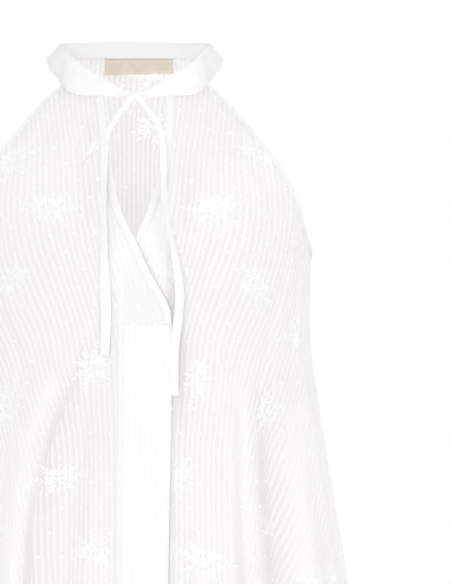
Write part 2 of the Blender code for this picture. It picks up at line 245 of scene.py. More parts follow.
# Tie tails: their middle line and breadth, from the knot down
RIGHT_TAIL = [
    # z, x, breadth
    (-48, -5.6, 6.6),
    (-53, -9.2, 5.8),
    (-58, -12.8, 5.2),
    (-67.5, -18.6, 5.2),
    (-74, -22.9, 5.4),
    (-83, -25.4, 5.8),
    (-92, -26.1, 6.4),
    (-118, -26.8, 5.4),
    (-142, -26.8, 3.8),
    (-165, -26.7, 5),
    (-190, -26.3, 7.4),
    (-213.5, -25.7, 9.4),
    (-239, -24.8, 8.6),
    (-260, -25.7, 8),
    (-270, -26.1, 8),
]
LEFT_TAIL = [
    # z, x, breadth
    (-48, 5.4, 6.4),
    (-52.4, 8.7, 5.6),
    (-56, 11.4, 5.2),
    (-62.9, 16.6, 5),
    (-68.5, 19.9, 5.2),
    (-83, 23.4, 5.6),
    (-105, 24.4, 6),
    (-131, 25, 5.2),
    (-155, 28.4, 4.4),
    (-173, 31.8, 5.2),
    (-192, 35.2, 6.6),
    (-213.5, 37.7, 7.6),
    (-231, 37.3, 7.6),
    (-247, 35.2, 7.8),
    (-265, 33.4, 8.2),
    (-304, 32.8, 8.6),
]

# How far the fronts' stripes lean inwards going down: near the placket, and out towards the side
STRIPE_LEAN = [
    # z, near, outer
    (0, 0.04, 0.04),
    (-40, 0.08, 0.08),
    (-75, 0.17, 0.12),
    (-110, 0.18, 0.12),
    (-150, 0.16, 0.10),
    (-170, 0.20, 0.14),
    (-186, 0.28, 0.24),
    (-198, 0.30, 0.30),
    (-222, 0.32, 0.33),
    (-236, 0.30, 0.40),
    (-250, 0.23, 0.44),
    (-267, 0.10, 0.44),
    (-284, 0.05, 0.38),
    (-301, 0.02, 0.31),
    (-320, 0, 0.27),
    (-370, 0, 0.27),
    (-404, 0, 0.32),
    (-439, 0, 0.37),
    (-520, 0, 0.36),
    (-700, 0, 0.30),
]

# Lines where the cloth turns under in a fold and takes some stripes out of sight
STRIPE_FOLD = [
    # z, distance from the middle on the right front, on the left front
    (-250, 40, 88),
    (-295, 55, 88),
    (-338, 72, 88),
    (-377, 81, 88),
    (-405, 87, 88),
    (-463, 91, 90),
    (-600, 97, 95),
]

# Grid counts of the shells
SIDE_COLUMNS = 118
EDGE_COLUMNS = 14
BACK_COLUMNS = 190
UPPER_ROWS = 70
LOWER_ROWS = 110
COLLAR_COLUMNS = 360
COLLAR_ROWS = 22
BAND_COLUMNS = 10

# The armhole's path: places read from its table, places kept at even steps, smoothing passes
ARMHOLE_READINGS, ARMHOLE_PLACES, ARMHOLE_PASSES = 300, 221, 3

# Woven stripes and embroidery, in millimetres
STRIPE_PITCH = 4.9
HEM_FOLD = 10.0
DOT_SPACING = 18.5
DOT_ROW_HIGH, DOT_ROW_LOW = 15.6, 21.3
DOT_RADIUS = 1.4
DOT_HEIGHT = 0.3
SPRIG_LIFT = 0.06
STITCH_SPACING, STITCH_LENGTH, STITCH_BREADTH = 2.5, 1.8, 0.34
STITCH_INSET, HEM_STITCH_UP = 0.9, 8.5
BUMP_STRENGTH = 0.7

# Share of the whitish look where nothing else is said. The back's lower share is painted
# shade, set for its inside as seen through the neck.
FRONT_BASE_SHARE, BACK_BASE_SHARE_PAINTED_SHADE = 0.7, 0.5

# Distances from the middle between which the collar turns to its painted shade, where it
# faces away from the light
CORNER_SHADE_START_X, CORNER_SHADE_FULL_X = 50.0, 68.0

LABEL_LEFT, LABEL_RIGHT, LABEL_TOP, LABEL_HEIGHT = -27.6, 35.0, -1.2, 12.4

# Colours, in linear light
# At share 1 the whiter colours are two-ply cloth and also painted light on flutes and sides; at share
# 0 the sheer colours also paint shade in valleys and under the collar seam
VOILE_SHEER = (0.83, 0.808, 0.787)
VOILE_TWO_PLY_AND_PAINTED_LIGHT = (0.96, 0.954, 0.946)
VOILE_RIB = (0.935, 0.93, 0.92)
VOILE_TWO_PLY_RIB_AND_PAINTED_LIGHT = (0.974, 0.971, 0.966)
PLAIN_LOW = (0.925, 0.925, 0.92)
PLAIN_HIGH = (0.985, 0.985, 0.98)
BINDING_LOW = (0.955, 0.955, 0.951)
BINDING_HIGH = (0.98, 0.98, 0.976)
EDGE_LOW = (0.925, 0.927, 0.93)
EDGE_HIGH = (0.953, 0.955, 0.958)
COLLAR_LOW = (0.955, 0.955, 0.955)
COLLAR_HIGH = (0.98, 0.98, 0.98)
# Painted shade on the collar's sides, which face away from the light
CORNER_SHADE_LOW = (0.875, 0.878, 0.87)
CORNER_SHADE_HIGH = (0.905, 0.908, 0.90)
# Painted shade: the collar's inner face, the same batiste made darker as it lies in shade inside the
# neck
FACING_SHADE_LOW = (0.858, 0.858, 0.86)
FACING_SHADE_HIGH = (0.887, 0.887, 0.892)
TIE_LOW = (0.94, 0.94, 0.94)
TIE_HIGH = (0.975, 0.975, 0.975)
DOT_LOW = (0.93, 0.927, 0.92)
DOT_HIGH = (0.96, 0.958, 0.952)
EMBROIDERY_LOW = (0.927, 0.928, 0.92)
EMBROIDERY_HIGH = (0.967, 0.968, 0.96)
# Painted light: whiter thread for the embroidery on the back's inner face, against the shade inside
INSIDE_THREAD_PAINTED_LIGHT_LOW = (0.975, 0.975, 0.97)
INSIDE_THREAD_PAINTED_LIGHT_HIGH = (0.995, 0.995, 0.99)
THREAD_LOW = (0.945, 0.945, 0.94)
THREAD_HIGH = (0.985, 0.985, 0.98)
LABEL_LOW = (0.63, 0.55, 0.47)
LABEL_HIGH = (0.76, 0.67, 0.585)

# Camera and light, in metres and watts
CAMERA_DISTANCE = 2.8
CAMERA_Z = -0.2151
CAMERA_SHIFT = 91 / 584
FIELD_HEIGHT = 0.5256
FLOOR_Z = -1.4
WORLD_TINT = (1.0, 1.0, 0.995)
WORLD_LIGHT = 0.96
LAMPS = [
    # name, place, size, power
    ("key", (-1.0, -3.2, 0.1), 2.0, 16.0),
    ("fill", (2.6, -2.0, -0.2), 2.4, 11.0),
]
INNER_LAMPS = [
    # place inside the hollow body, power
    ((0.0, 0.02, -0.05), 0.025),
    ((0.0, 0.03, -0.11), 0.035),
    ((0.0, -0.01, -0.24), 0.10),
    ((0.0, -0.01, -0.46), 0.26),
]
INNER_LAMP_RADIUS = 0.06


def read_table(rows, column, keys):
    """Values of one column at an array of keys, on a smooth curve through the rows."""
    table = np.array(rows, float)
    if table[-1, 0] < table[0, 0]:
        table = table[::-1]
    marks, values = table[:, 0], table[:, column]
    keys = np.clip(np.asarray(keys, float), marks[0], marks[-1])
    slopes = np.empty_like(values)
    slopes[1:-1] = (values[2:] - values[:-2]) / (marks[2:] - marks[:-2])
    slopes[0] = (values[1] - values[0]) / (marks[1] - marks[0])
    slopes[-1] = (values[-1] - values[-2]) / (marks[-1] - marks[-2])
    i = np.clip(np.searchsorted(marks, keys, side="right") - 1, 0, len(marks) - 2)
    span = marks[i + 1] - marks[i]
    t = (keys - marks[i]) / span
    return ((2 * t ** 3 - 3 * t ** 2 + 1) * values[i] + (t ** 3 - 2 * t ** 2 + t) * span * slopes[i]
            + (3 * t ** 2 - 2 * t ** 3) * values[i + 1] + (t ** 3 - t ** 2) * span * slopes[i + 1])


def ease(value, start, end):
    t = np.clip((value - start) / (end - start), 0.0, 1.0)
    return t * t * (3 - 2 * t)


def mix(a, b, t):
    return a + (b - a) * t


def turned(angle):
    """Angle brought to -90 to 270, so that the back is in one piece."""
    return (np.asarray(angle, float) + 90.0) % 360.0 - 90.0


def hem_z(angle):
    middle = (HEM_FRONT_Z + HEM_BACK_Z) / 2
    return middle + (HEM_FRONT_Z - middle) * np.cos(np.radians(angle))


def fold_height(angle, z):
    """How far folds and creases lift the cloth at a place on it."""
    turn = turned(angle)
    total = np.zeros(np.broadcast(turn, z).shape)
    for angle_top, angle_hem, z_top, fade, half_width, height in FOLDS:
        line = mix(angle_top, angle_hem, np.clip((z_top - z) / (z_top - HEM_BACK_Z), 0, None))
        across = (turn - line) / half_width
        total += height * ease(z_top - z, 0.0, fade) * np.exp(-across * across)
    for angle_top, angle_low, z_top, z_low, half_width, height in CREASES:
        along = np.clip((z_top - z) / (z_top - z_low), 0.0, 1.0)
        across = (turn - mix(angle_top, angle_low, along)) / half_width
        total += height * np.sin(np.pi * along) ** 0.8 * np.exp(-across * across)
    sway = 0.45 * np.sin(turn * 0.21 + z * 0.018) * np.sin(turn * 0.093 - z * 0.031 + 1.7)
    return total + sway * ease(-z, 50.0, 140.0)


def body_point(angle, z):
    """Points on the cloth's outer face: angle 0 is the middle of the front, 90 the left side."""
    angle, z = np.broadcast_arrays(np.asarray(angle, float), np.asarray(z, float))
    across, along = np.sin(np.radians(angle)), np.cos(np.radians(angle))
    front = along >= 0
    width = np.where(front, read_table(RINGS, 1, z), read_table(RINGS, 3, z))
    depth = np.where(front, read_table(RINGS, 2, z), read_table(RINGS, 4, z))
    normal_x, normal_y = across / width, -along / depth
    lift = fold_height(angle, z) / np.hypot(normal_x, normal_y)
    return np.stack([width * across + normal_x * lift, -depth * along + normal_y * lift, z], -1)


def unit(vectors):
    return vectors / np.maximum(np.linalg.norm(vectors, axis=-1, keepdims=True), 1e-9)


def body_normal(angle, z):
    step = 0.4
    around = body_point(angle + step, z) - body_point(angle - step, z)
    down = body_point(angle, z - step) - body_point(angle, z + step)
    return unit(np.cross(down, around))


def angle_at(x, z):
    """Angle of the front cloth at a distance from the middle."""
    return np.degrees(np.arcsin(x / read_table(RINGS, 1, z)))


def seam_z(angle):
    return read_table(COLLAR, 1, np.abs((np.asarray(angle, float) + 180.0) % 360.0 - 180.0))


def underlap(points):
    across = ease(-points[..., 0], -UNDERLAP_END_X, -UNDERLAP_FULL_X)
    return UNDERLAP_DEPTH * across * ease(-points[..., 2], -UNDERLAP_START_Z, -UNDERLAP_FULL_Z)


def place(angle, z, out=0.0, tucked=False):
    """Points at (angle, z), moved out from the cloth's outer face."""
    points = body_point(angle, z)
    inward = underlap(points) if tucked else 0.0
    return points + body_normal(angle, z) * np.asarray(out - inward)[..., None]


def edged(grid):
    """The grid with a very narrow row of cells inside each border, which keeps the rim crisp."""
    for axis in (0, 1):
        grid = np.swapaxes(grid, 0, axis)
        first, last = mix(grid[:1], grid[1:2], RIM_SHARE), mix(grid[-1:], grid[-2:-1], RIM_SHARE)
        grid = np.concatenate([grid[:1], first, grid[1:-1], last, grid[-1:]])
        grid = np.swapaxes(grid, 0, axis)
    return grid


def linked(name, data):
    item = bpy.data.objects.new(name, data)
    bpy.context.scene.collection.objects.link(item)
    return item


def mesh_object(name, points, faces, material, uv=None):
    """An object from points in millimetres, with a UV map of places at the points."""
    mesh = bpy.data.meshes.new(name)
    rows = faces if isinstance(faces, list) else faces.tolist()
    mesh.from_pydata((points * METRES).tolist(), [], rows)
    mesh.shade_smooth()
    mesh.materials.append(material)
    if uv is not None:
        layer = mesh.uv_layers.new(name="grain")
        layer.data.foreach_set("uv", uv[faces.reshape(-1)].astype(np.float32).ravel())
    return linked(name, mesh)


def grid_object(name, points, material, thickness, uv, layers_and_painted_light=None, lining=None, patch=None):
    """A thin closed shell over a grid of outer points, with its grain in a UV map.

    The share kept at each grid point says how two-ply a panel looks, with painted shade and light
    added, or how near the collar is to its painted side shade. A lining is the material of the inner
    face, on the collar painted darker as shade, and a patch is a material with the share of it at
    each grid point."""
    points = edged(points)
    rows, columns = points.shape[:2]
    index = np.arange(rows * columns).reshape(rows, columns)
    quads = np.stack([index[:-1, :-1], index[1:, :-1], index[1:, 1:], index[:-1, 1:]], -1)
    quads = quads.reshape(-1, 4)
    item = mesh_object(name, points.reshape(-1, 3), quads, material, edged(uv).reshape(-1, 2))
    mesh = item.data
    if layers_and_painted_light is not None:
        mesh.attributes.new("layers_and_painted_light", "FLOAT", "POINT").data.foreach_set(
            "value", edged(layers_and_painted_light).reshape(-1).astype(np.float32))
    solid = item.modifiers.new("cloth thickness", "SOLIDIFY")
    solid.thickness = thickness * METRES
    solid.offset = -1.0
    if patch is not None:
        mesh.materials.append(patch[0])
        share = edged(patch[1]).reshape(-1)[quads].mean(axis=1)
        mesh.polygons.foreach_set("material_index", (share > 0.5).astype(np.int32))
    if lining is not None:
        mesh.materials.append(lining)
        solid.material_offset = 1
    return item


def settle(item, slot, *nodes):
    """Finish a piece: it rides on the body and stands for its solids. The slot is not used."""
    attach(item, "root")
    if nodes:
        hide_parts(*nodes)
    return item


# Panels

def arc_length(angle, z, steps=24):
    """Length round the plain ring from the middle of the front or back to an angle."""
    turn = np.radians(angle)
    total = np.zeros(np.broadcast(turn, z).shape)
    width, depth = read_table(RINGS, 1, z), read_table(RINGS, 2, z)
    for n in range(steps):
        t = turn * (n + 0.5) / steps
        total += np.hypot(width * np.cos(t), depth * np.sin(t)) * turn / steps
    return total


def seen_reach(turn, z, steps=30):
    """Distance from the middle as seen from the front, which turns into length along the ring
    where the cloth curves away at the side."""
    turn = np.radians(turn)
    total = np.zeros(np.broadcast(turn, z).shape)
    width, depth = read_table(RINGS, 1, z), read_table(RINGS, 2, z)
    for n in range(steps):
        t = turn * (n + 0.5) / steps
        across, along = width * np.cos(t), depth * np.sin(t)
        rounding = ease(np.abs(np.sin(t)), 0.72, 0.97)
        total += mix(across, np.hypot(across, along), rounding) * turn / steps
    return total


def lean_shift(column, z):
    """How far the stripes have moved over, by adding up their lean from the collar down."""
    levels = np.arange(0.0, HEM_BACK_Z - 20.0, -4.0)
    shifts = np.cumsum(read_table(STRIPE_LEAN, column, levels)) * 4.0
    return np.interp(-np.asarray(z, float), -levels, shifts)


def front_grain(side, angle, z):
    reach = side * seen_reach(np.clip(angle, -89.9, 89.9), z)
    fold_x = read_table(STRIPE_FOLD, 1 if side < 0 else 2, z)
    blur = 3.4 if side < 0 else 5.0
    fan = ease(reach, 60.0, 112.0)
    fold = 0.72 * ease(reach, fold_x - blur, fold_x + blur) + 0.28 * ease(reach, 98.0, 122.0)
    near, outer = lean_shift(1, z), lean_shift(2, z)
    folded = ease(-z, 250.0, 320.0) if side < 0 else ease(-z, 275.0, 345.0)
    shift = near + (outer - near) * mix(fan, fold, folded)
    close = 0.11 * (1 - ease(-z, 75.0, 150.0)) * reach
    close += 0.10 * ease(-z, 285.0, 360.0) * np.minimum(reach, fold_x)
    return side * (0.965 * reach + close + shift)


def grain(panel, angle, z):
    """Place across the woven stripes (u) and down the cloth (v), in millimetres.

    The stripes hang straight in the middle and lean inwards going down towards the sides."""
    angle, z = np.broadcast_arrays(np.asarray(angle, float), np.asarray(z, float))
    if panel != "back":
        return np.stack([front_grain(-1 if panel == "front_right" else 1, angle, z), -z], -1)
    turn = angle - 180.0
    outer = ease(np.abs(turn), 30.0, 75.0)
    lean = np.where(z > -150, 0.07 * (-60 - z), 6.3 + 0.30 * (-150 - z))
    spread = 0.5 * np.maximum(lean, 0.0) * outer * ease(-z, 60.0, 200.0)
    across = arc_length(turn, z) * mix(1.04, 0.86, outer) + np.sign(turn) * spread
    return np.stack([across, -z], -1)


def panel_places(angle_of, column_count):
    """Angles and heights of a panel's grid, from the collar seam to the hem."""
    columns = np.arange(column_count + 1)
    top = np.full(columns.shape, -40.0)
    for _ in range(10):
        top = seam_z(angle_of(columns, top))
    hem = hem_z(angle_of(columns, np.full(columns.shape, HEM_FRONT_Z)))
    upper = [mix(top, UNDERARM_Z, n / UPPER_ROWS) for n in range(UPPER_ROWS)]
    lower = [mix(UNDERARM_Z, hem, n / LOWER_ROWS) for n in range(LOWER_ROWS + 1)]
    z = np.array(upper + lower)
    return angle_of(columns[None, :], z), z


def front_angle(columns, outer, inner, edge):
    side = mix(outer, inner, np.minimum(columns, SIDE_COLUMNS) / SIDE_COLUMNS)
    return mix(side, edge, np.clip((columns - SIDE_COLUMNS) / EDGE_COLUMNS, 0.0, 1.0))


def right_front_angle(columns, z):
    return front_angle(columns, -read_table(ARMHOLE, 1, z), angle_at(read_table(OPENING, 2, z), z),
                       angle_at(read_table(OPENING, 1, z), z))


def left_front_angle(columns, z):
    return front_angle(SIDE_COLUMNS + EDGE_COLUMNS - columns, read_table(ARMHOLE, 1, z),
                       angle_at(read_table(OPENING, 4, z), z), angle_at(read_table(OPENING, 3, z), z))


def back_angle(columns, z):
    half = read_table(ARMHOLE, 2, z)
    return 180.0 + mix(-half, half, columns / BACK_COLUMNS)


def seam_dip(angle, z):
    """The side seams pull the cloth in a little along a narrow line."""
    off = np.minimum(np.abs(turned(angle) - 90.0), np.abs(turned(angle) - 270.0))
    off = np.minimum(off, np.abs(turned(angle) + 90.0))
    return -0.5 * np.exp(-(off / 0.9) ** 2) * ease(-z, 186.0, 240.0)


# Painted shade (minus) along valleys and painted light (plus) on flutes: a line, how far
# the painted look spreads to its left and right, and how strong it is
PAINTED_LIGHT_LINES = [
    # x_top, z_top, x_low, z_low, left, right, amount
    (-43, -262, -54, -295, 4, 9, -0.4),
    (-54, -295, -71, -338, 5, 14, -0.5),
    (-71, -338, -83, -405, 5, 17, -0.52),
    (-83, -405, -92, -520, 6, 15, -0.32),
    (-66, -290, -92, -345, 13, 3, 0.32),
    (-92, -345, -112, -520, 15, 5, 0.32),
    (106, -300, 110, -400, 4, 12, -0.45),
    (110, -400, 122, -540, 5, 13, -0.45),
    (94, -300, 96, -440, 9, 4, 0.25),
    (142, -320, 154, -500, 12, 8, 0.32),
    (41, -250, 40, -330, 4, 6, -0.5),
    (-38, -70, -44, -160, 6, 9, -0.3),
    (44, -90, 42, -160, 6, 9, -0.3),
]


def painted_light_lines(x, z):
    total = np.zeros(x.shape)
    for x_top, z_top, x_low, z_low, left, right, amount in PAINTED_LIGHT_LINES:
        t = (z_top - z) / (z_top - z_low)
        across = x - mix(x_top, x_low, t)
        across = across / np.where(across < 0, left, right)
        ends = ease(t, -0.12, 0.12) * (1 - ease(t, 0.88, 1.12))
        total += amount * ends * np.exp(-across * across)
    return total


def facing_share(panel, angle, z):
    """1 on the wide facings that make the fronts' edges two-ply below the slit, 0 off them."""
    x = body_point(angle, z)[..., 0]
    if panel == "front_right":
        inside = x - read_table(OPENING, 2, z)
    else:
        inside = read_table(OPENING, 4, z) - x
    return ease(inside, -1.0, 1.0) * ease(-z, 122.0, 150.0)


def cloth_layers_and_painted_light(panel, angle, z):
    """How whitish the sheer stripes look: 0 for one layer, 1 for two over each other. Painted shade
    is added in valleys, under the collar seam and on the back, and painted light on flutes and at the
    sides.
    """
    # The back starts darker: painted shade for its inside
    total = np.full(angle.shape, BACK_BASE_SHARE_PAINTED_SHADE if panel == "back" else FRONT_BASE_SHARE)
    if panel == "back":
        # Painted light: the back turns whiter towards its sides below the arms
        painted_light_to_side = ease(np.abs(angle - 180.0), 50.0, 84.0)
        total += (1.0 - BACK_BASE_SHARE_PAINTED_SHADE) * painted_light_to_side * ease(-z, 150.0, 240.0)
    else:
        # Painted shade: a darker strip just under the collar seam
        painted_shade_below_seam = np.exp(-np.maximum(seam_z(angle) - z, 0.0) / 3.5)
        total -= 0.8 * painted_shade_below_seam
        # Painted light: the fronts turn whiter towards their sides below the arms
        total += 0.4 * ease(np.abs(angle), 58.0, 80.0) * ease(-z, 150.0, 240.0)
        # Painted shade in the valleys and painted light on the flutes
        total += painted_light_lines(body_point(angle, z)[..., 0], z)
        total += 0.06 * (1 - ease(-z, 140.0, 190.0))
        total += facing_share(panel, angle, z)
    total += 0.3 * ease(hem_z(angle) + HEM_FOLD - z, -0.5, 0.5)
    return np.clip(total, 0.0, 1.0)


def build_panel(name, angle_of, column_count, tucked, material, faced=None):
    angle, z = panel_places(angle_of, column_count)
    panel = name.replace("cloth_", "")
    turned_up = ease(hem_z(angle) + HEM_FOLD - z, -0.5, 0.5)
    points = place(angle, z, seam_dip(angle, z) + 0.35 * turned_up, tucked)
    # The share: two-ply cloth, with painted shade and painted light added
    layers_and_painted_light = cloth_layers_and_painted_light(panel, angle, z)
    patch = (faced, facing_share(panel, angle, z)) if faced else None
    item = grid_object(name, points, material, SHELL, grain(panel, angle, z), layers_and_painted_light, patch=patch)
    return settle(item, "striped_voile", panel)


def beside(angle, z, offsets):
    """Places at distances to one side of a path on the cloth, square to the path."""
    turn_step, drop_step = 0.25, 0.5
    by_angle = body_point(angle + turn_step, z) - body_point(angle - turn_step, z)
    by_angle = by_angle / (2 * turn_step)
    by_z = body_point(angle, z + drop_step) - body_point(angle, z - drop_step)
    by_z = by_z / (2 * drop_step)
    along = unit(np.gradient(body_point(angle, z), axis=0))
    side = np.cross(unit(np.cross(by_angle, by_z)), along)
    aa, az, zz = (by_angle ** 2).sum(-1), (by_angle * by_z).sum(-1), (by_z ** 2).sum(-1)
    sa, sz = (side * by_angle).sum(-1), (side * by_z).sum(-1)
    det = aa * zz - az * az
    turn, drop = (sa * zz - sz * az) / det, (sz * aa - sa * az) / det
    return angle[:, None] + turn[:, None] * offsets, z[:, None] + drop[:, None] * offsets


def outward(points, angle, z):
    """Whether the faces of a grid point out of the body."""
    r, c = points.shape[0] // 2, points.shape[1] // 2
    face = np.cross(points[r + 1, c] - points[r, c], points[r, c] - points[r, c - 1])
    return face @ body_normal(angle[r, c], z[r, c]) > 0


def laid_strip(name, material, angle, z, breadth, tucked=False):
    """A flat band of even breadth beside a path, with softly turned edges."""
    share = np.linspace(0.0, 1.0, BAND_COLUMNS + 1)
    turns, drops = beside(angle, z, breadth * share)
    edge = np.minimum(share, 1 - share) * abs(breadth)
    out = BAND_LIFT * (0.45 + 0.55 * np.clip(edge / 0.9, 0, 1) ** 0.5)
    pucker = 0.12 * np.sin(drops * 1.9 + turns * 0.7) * np.clip(edge / 1.5, 0, 1)
    points = place(turns, drops, out + pucker, tucked)
    length = np.cumsum(np.linalg.norm(np.gradient(points[:, 0], axis=0), axis=-1))
    uv = np.stack(np.broadcast_arrays(share * abs(breadth), length[:, None]), -1)
    if not outward(points, turns, drops):
        points, uv = points[:, ::-1], uv[:, ::-1]
    item = grid_object(name, points, material, BAND_SHELL, uv)
    return settle(item, "plain_batiste", name.replace("cloth_", ""))


def edge_path(column, top, bottom, count):
    z = np.linspace(top, bottom, count)
    return angle_at(read_table(OPENING, column, z), z), z


def armhole_path(side):
    """The armhole's edge from the front of the collar, under the arm, to the back of the collar."""
    t = np.linspace(1.0, 0.0, ARMHOLE_READINGS)
    front_top = back_top = -30.0
    for _ in range(10):
        front_top = float(seam_z(read_table(ARMHOLE, 1, front_top)))
        back_top = float(seam_z(180.0 - read_table(ARMHOLE, 2, back_top)))
    front_z = UNDERARM_Z + (front_top - UNDERARM_Z) * t ** 2
    back_z = (UNDERARM_Z + (back_top - UNDERARM_Z) * t ** 2)[::-1][1:]
    angle = np.concatenate([read_table(ARMHOLE, 1, front_z),
                            180.0 - read_table(ARMHOLE, 2, back_z)])
    z = np.concatenate([front_z, back_z])
    length = np.cumsum(np.linalg.norm(np.gradient(body_point(angle, z), axis=0), axis=-1))
    even = np.linspace(length[0], length[-1], ARMHOLE_PLACES)
    angle, z = np.interp(even, length, angle), np.interp(even, length, z)
    for _ in range(ARMHOLE_PASSES):
        angle[1:-1] = (angle[:-2] + 2 * angle[1:-1] + angle[2:]) / 4
        z[1:-1] = (z[:-2] + 2 * z[1:-1] + z[2:]) / 4
    return side * angle, z


# Collar

def collar_relief(angle, t):
    """Soft hollows and drawn creases on the collar's front corners."""
    turn = np.abs((angle + 180.0) % 360.0 - 180.0)
    total = np.zeros(np.broadcast(turn, t).shape)
    for middle, level, spread, rise, height in COLLAR_RELIEF:
        total += height * np.exp(-((turn - middle) / spread) ** 2 - ((t - level) / rise) ** 2)
    return total


def collar_points(angle, t, out=0.0):
    turn = (np.asarray(angle, float) + 180.0) % 360.0 - 180.0
    side = np.where(turn >= 0, 1.0, -1.0)
    lower = body_point(angle, seam_z(angle))
    upper = np.stack([side * read_table(COLLAR, 2, np.abs(turn)), read_table(COLLAR, 3, np.abs(turn)),
                      read_table(COLLAR, 4, np.abs(turn))], -1)
    lower = lower + unit(upper - lower) * 0.2
    normal = body_normal(angle, seam_z(angle))
    flat = np.exp(-((np.abs(turn) - 82.0) / 22.0) ** 2)
    swell = 1.4 * (1 - flat) * np.sin(math.pi * t) + collar_relief(angle, t) + out
    down = (lower - upper) * np.asarray(t)[..., None]
    return upper + down + normal * np.asarray(swell)[..., None]


def build_collar(material, shaded_facing):
    start = COLLAR[0][0]
    angle = np.linspace(start, 360.0 - start, COLLAR_COLUMNS + 1)[None, :]
    t = np.linspace(0.0, 1.0, COLLAR_ROWS + 1)[:, None]
    angle, t = np.broadcast_arrays(angle, t)
    edge = -0.25 * np.exp(-np.minimum(t, 1 - t) * 22)
    points = collar_points(angle, t, edge)
    length = np.cumsum(np.linalg.norm(np.gradient(points[0], axis=0), axis=-1))
    uv = np.stack([np.broadcast_to(length, t.shape), t * 30.0], -1)
    # Painted shade: the collar darkens towards its sides, which face away from the light
    corner_shade = ease(np.abs(points[..., 0]), CORNER_SHADE_START_X, CORNER_SHADE_FULL_X)
    return settle(grid_object("cloth_collar", points, material, COLLAR_SHELL, uv, corner_shade, shaded_facing),
                  "plain_batiste", "collar")


# Tie

def build_tail(name, table, material, lean):
    top, bottom = table[0][0], table[-1][0]
    z = np.linspace(top, bottom, 150)
    angle = angle_at(read_table(table, 1, z), z)
    seen = read_table(table, 2, z)
    breadth = np.maximum(seen, mix(seen, TAIL_BREADTH, ease(-z, 85, 130)))
    cosine = np.clip(seen / breadth, 0.3, 1.0)
    tilt = lean * np.sqrt(1 - cosine ** 2)
    normal = body_normal(angle, z)
    lift = mix(1.0, TAIL_LIFT, ease(-z, 48.0, 60.0)) + np.abs(tilt) * breadth * 0.5
    lift += 0.5 * np.sin(z * 0.045 + lean)
    level = unit(normal * [1.0, 1.0, 0.0])
    centre = body_point(angle, z) + level * lift[:, None]
    along = unit(np.gradient(centre, axis=0))
    side = unit(np.cross(normal, along))
    side = side * np.where(side[:, :1] < 0, -1.0, 1.0)
    turned_side = side * cosine[:, None] + normal * tilt[:, None]
    share = np.linspace(-0.5, 0.5, 9)
    arch = 0.35 * np.cos(share * math.pi)
    across = turned_side[:, None] * (breadth[:, None] * share)[..., None]
    points = centre[:, None] + across + normal[:, None] * arch[None, :, None]
    uv = np.stack(np.broadcast_arrays((share + 0.5) * 8.4, -z[:, None]), -1)
    item = grid_object(name, points, material, TAIL_SHELL, uv)
    return settle(item, "tie_cloth", name.replace("cloth_", ""))


KNOT_STRAPS = [
    # Points along the middle of each strap, its half breadth at both ends, and its half thickness
    ([(-10.5, -72.4, -40.2), (-5.2, -75, -41.3), (0, -76.2, -41.8), (5.2, -75, -41.3),
      (10.5, -72.4, -40.2)], 2.5, 2.5, 0.8),
    ([(4.6, -76, -41.4), (0.6, -78.2, -43.2), (-3.4, -78.6, -46), (-7.2, -79, -50.2),
      (-9.8, -80, -54)], 3.1, 2.4, 0.7),
    ([(-4.6, -75.6, -41.8), (-0.4, -77.2, -43.8), (3.8, -77.8, -46.6), (7.2, -78.6, -50.4),
      (9.6, -79.6, -54)], 3.1, 2.4, 0.7),
]


def smooth_path(points, count):
    """A smooth curve through a few points."""
    points = np.array(points, float)
    rows = [(float(n), *p) for n, p in enumerate(points)]
    keys = np.linspace(0, len(points) - 1, count)
    return np.stack([read_table(rows, c, keys) for c in (1, 2, 3)], -1)


def build_knot(material):
    parts, faces, start = [], [], 0
    rings, round_count = 40, 16
    for points, first_half, last_half, half_thickness in KNOT_STRAPS:
        centre = smooth_path(points, rings)
        along = unit(np.gradient(centre, axis=0))
        front = np.array([0.0, -1.0, 0.25])
        side = unit(np.cross(along, front[None]))
        normal = unit(np.cross(side, along))
        turn = np.linspace(0, 2 * math.pi, round_count, endpoint=False)
        half_breadth = np.linspace(first_half, last_half, rings)
        crinkle = 1.0 + 0.22 * np.sin(turn * 3 + np.linspace(0, 5, rings)[:, None])
        ring = (centre[:, None] + side[:, None] * (half_breadth[:, None]
                * np.cos(turn))[..., None] + normal[:, None] * (half_thickness * crinkle
                * np.sin(turn))[..., None])
        parts.append(ring.reshape(-1, 3))
        for r in range(rings - 1):
            for c in range(round_count):
                d = (c + 1) % round_count
                faces.append([start + r * round_count + c, start + r * round_count + d,
                              start + (r + 1) * round_count + d, start + (r + 1) * round_count + c])
        faces.append([start + c for c in reversed(range(round_count))])
        faces.append([start + (rings - 1) * round_count + c for c in range(round_count)])
        start += rings * round_count
    item = mesh_object("cloth_tie_knot", np.concatenate(parts), faces, material)
    return settle(item, "tie_cloth", "tie_knot")


# Label

def build_label(material):
    x = np.linspace(LABEL_RIGHT, LABEL_LEFT, 61)[None, :]
    z = np.linspace(LABEL_TOP, LABEL_TOP - LABEL_HEIGHT, 21)[:, None]
    x, z = np.broadcast_arrays(x, z)
    fall = (LABEL_TOP - z) / LABEL_HEIGHT
    z = z + fall * 0.9 * (x - 3.7) / 31.3
    angle = 180.0 - np.degrees(np.arcsin(x / read_table(RINGS, 3, z)))
    edge = np.minimum(x - LABEL_LEFT, LABEL_RIGHT - x)
    out = -1.1 - 0.35 * np.clip(edge / 4.0, 0, 1)
    uv = np.stack([x, fall * LABEL_HEIGHT], -1)
    return settle(grid_object("woven_label", place(angle, z, out), material, LABEL_SHELL, uv),
                  "label_weave", "neck_label")


# Small raised work: dots, leaves and stitches, each joined into one mesh for its panel

def joined(name, points, faces, material, uv=None):
    return settle(mesh_object(name, points, faces, material, uv), None)


def repeated(faces, count, size):
    """Faces of a number of copies of one shape, whose points follow each other."""
    return (faces[None] + (np.arange(count) * size)[:, None, None]).reshape(-1, 3)


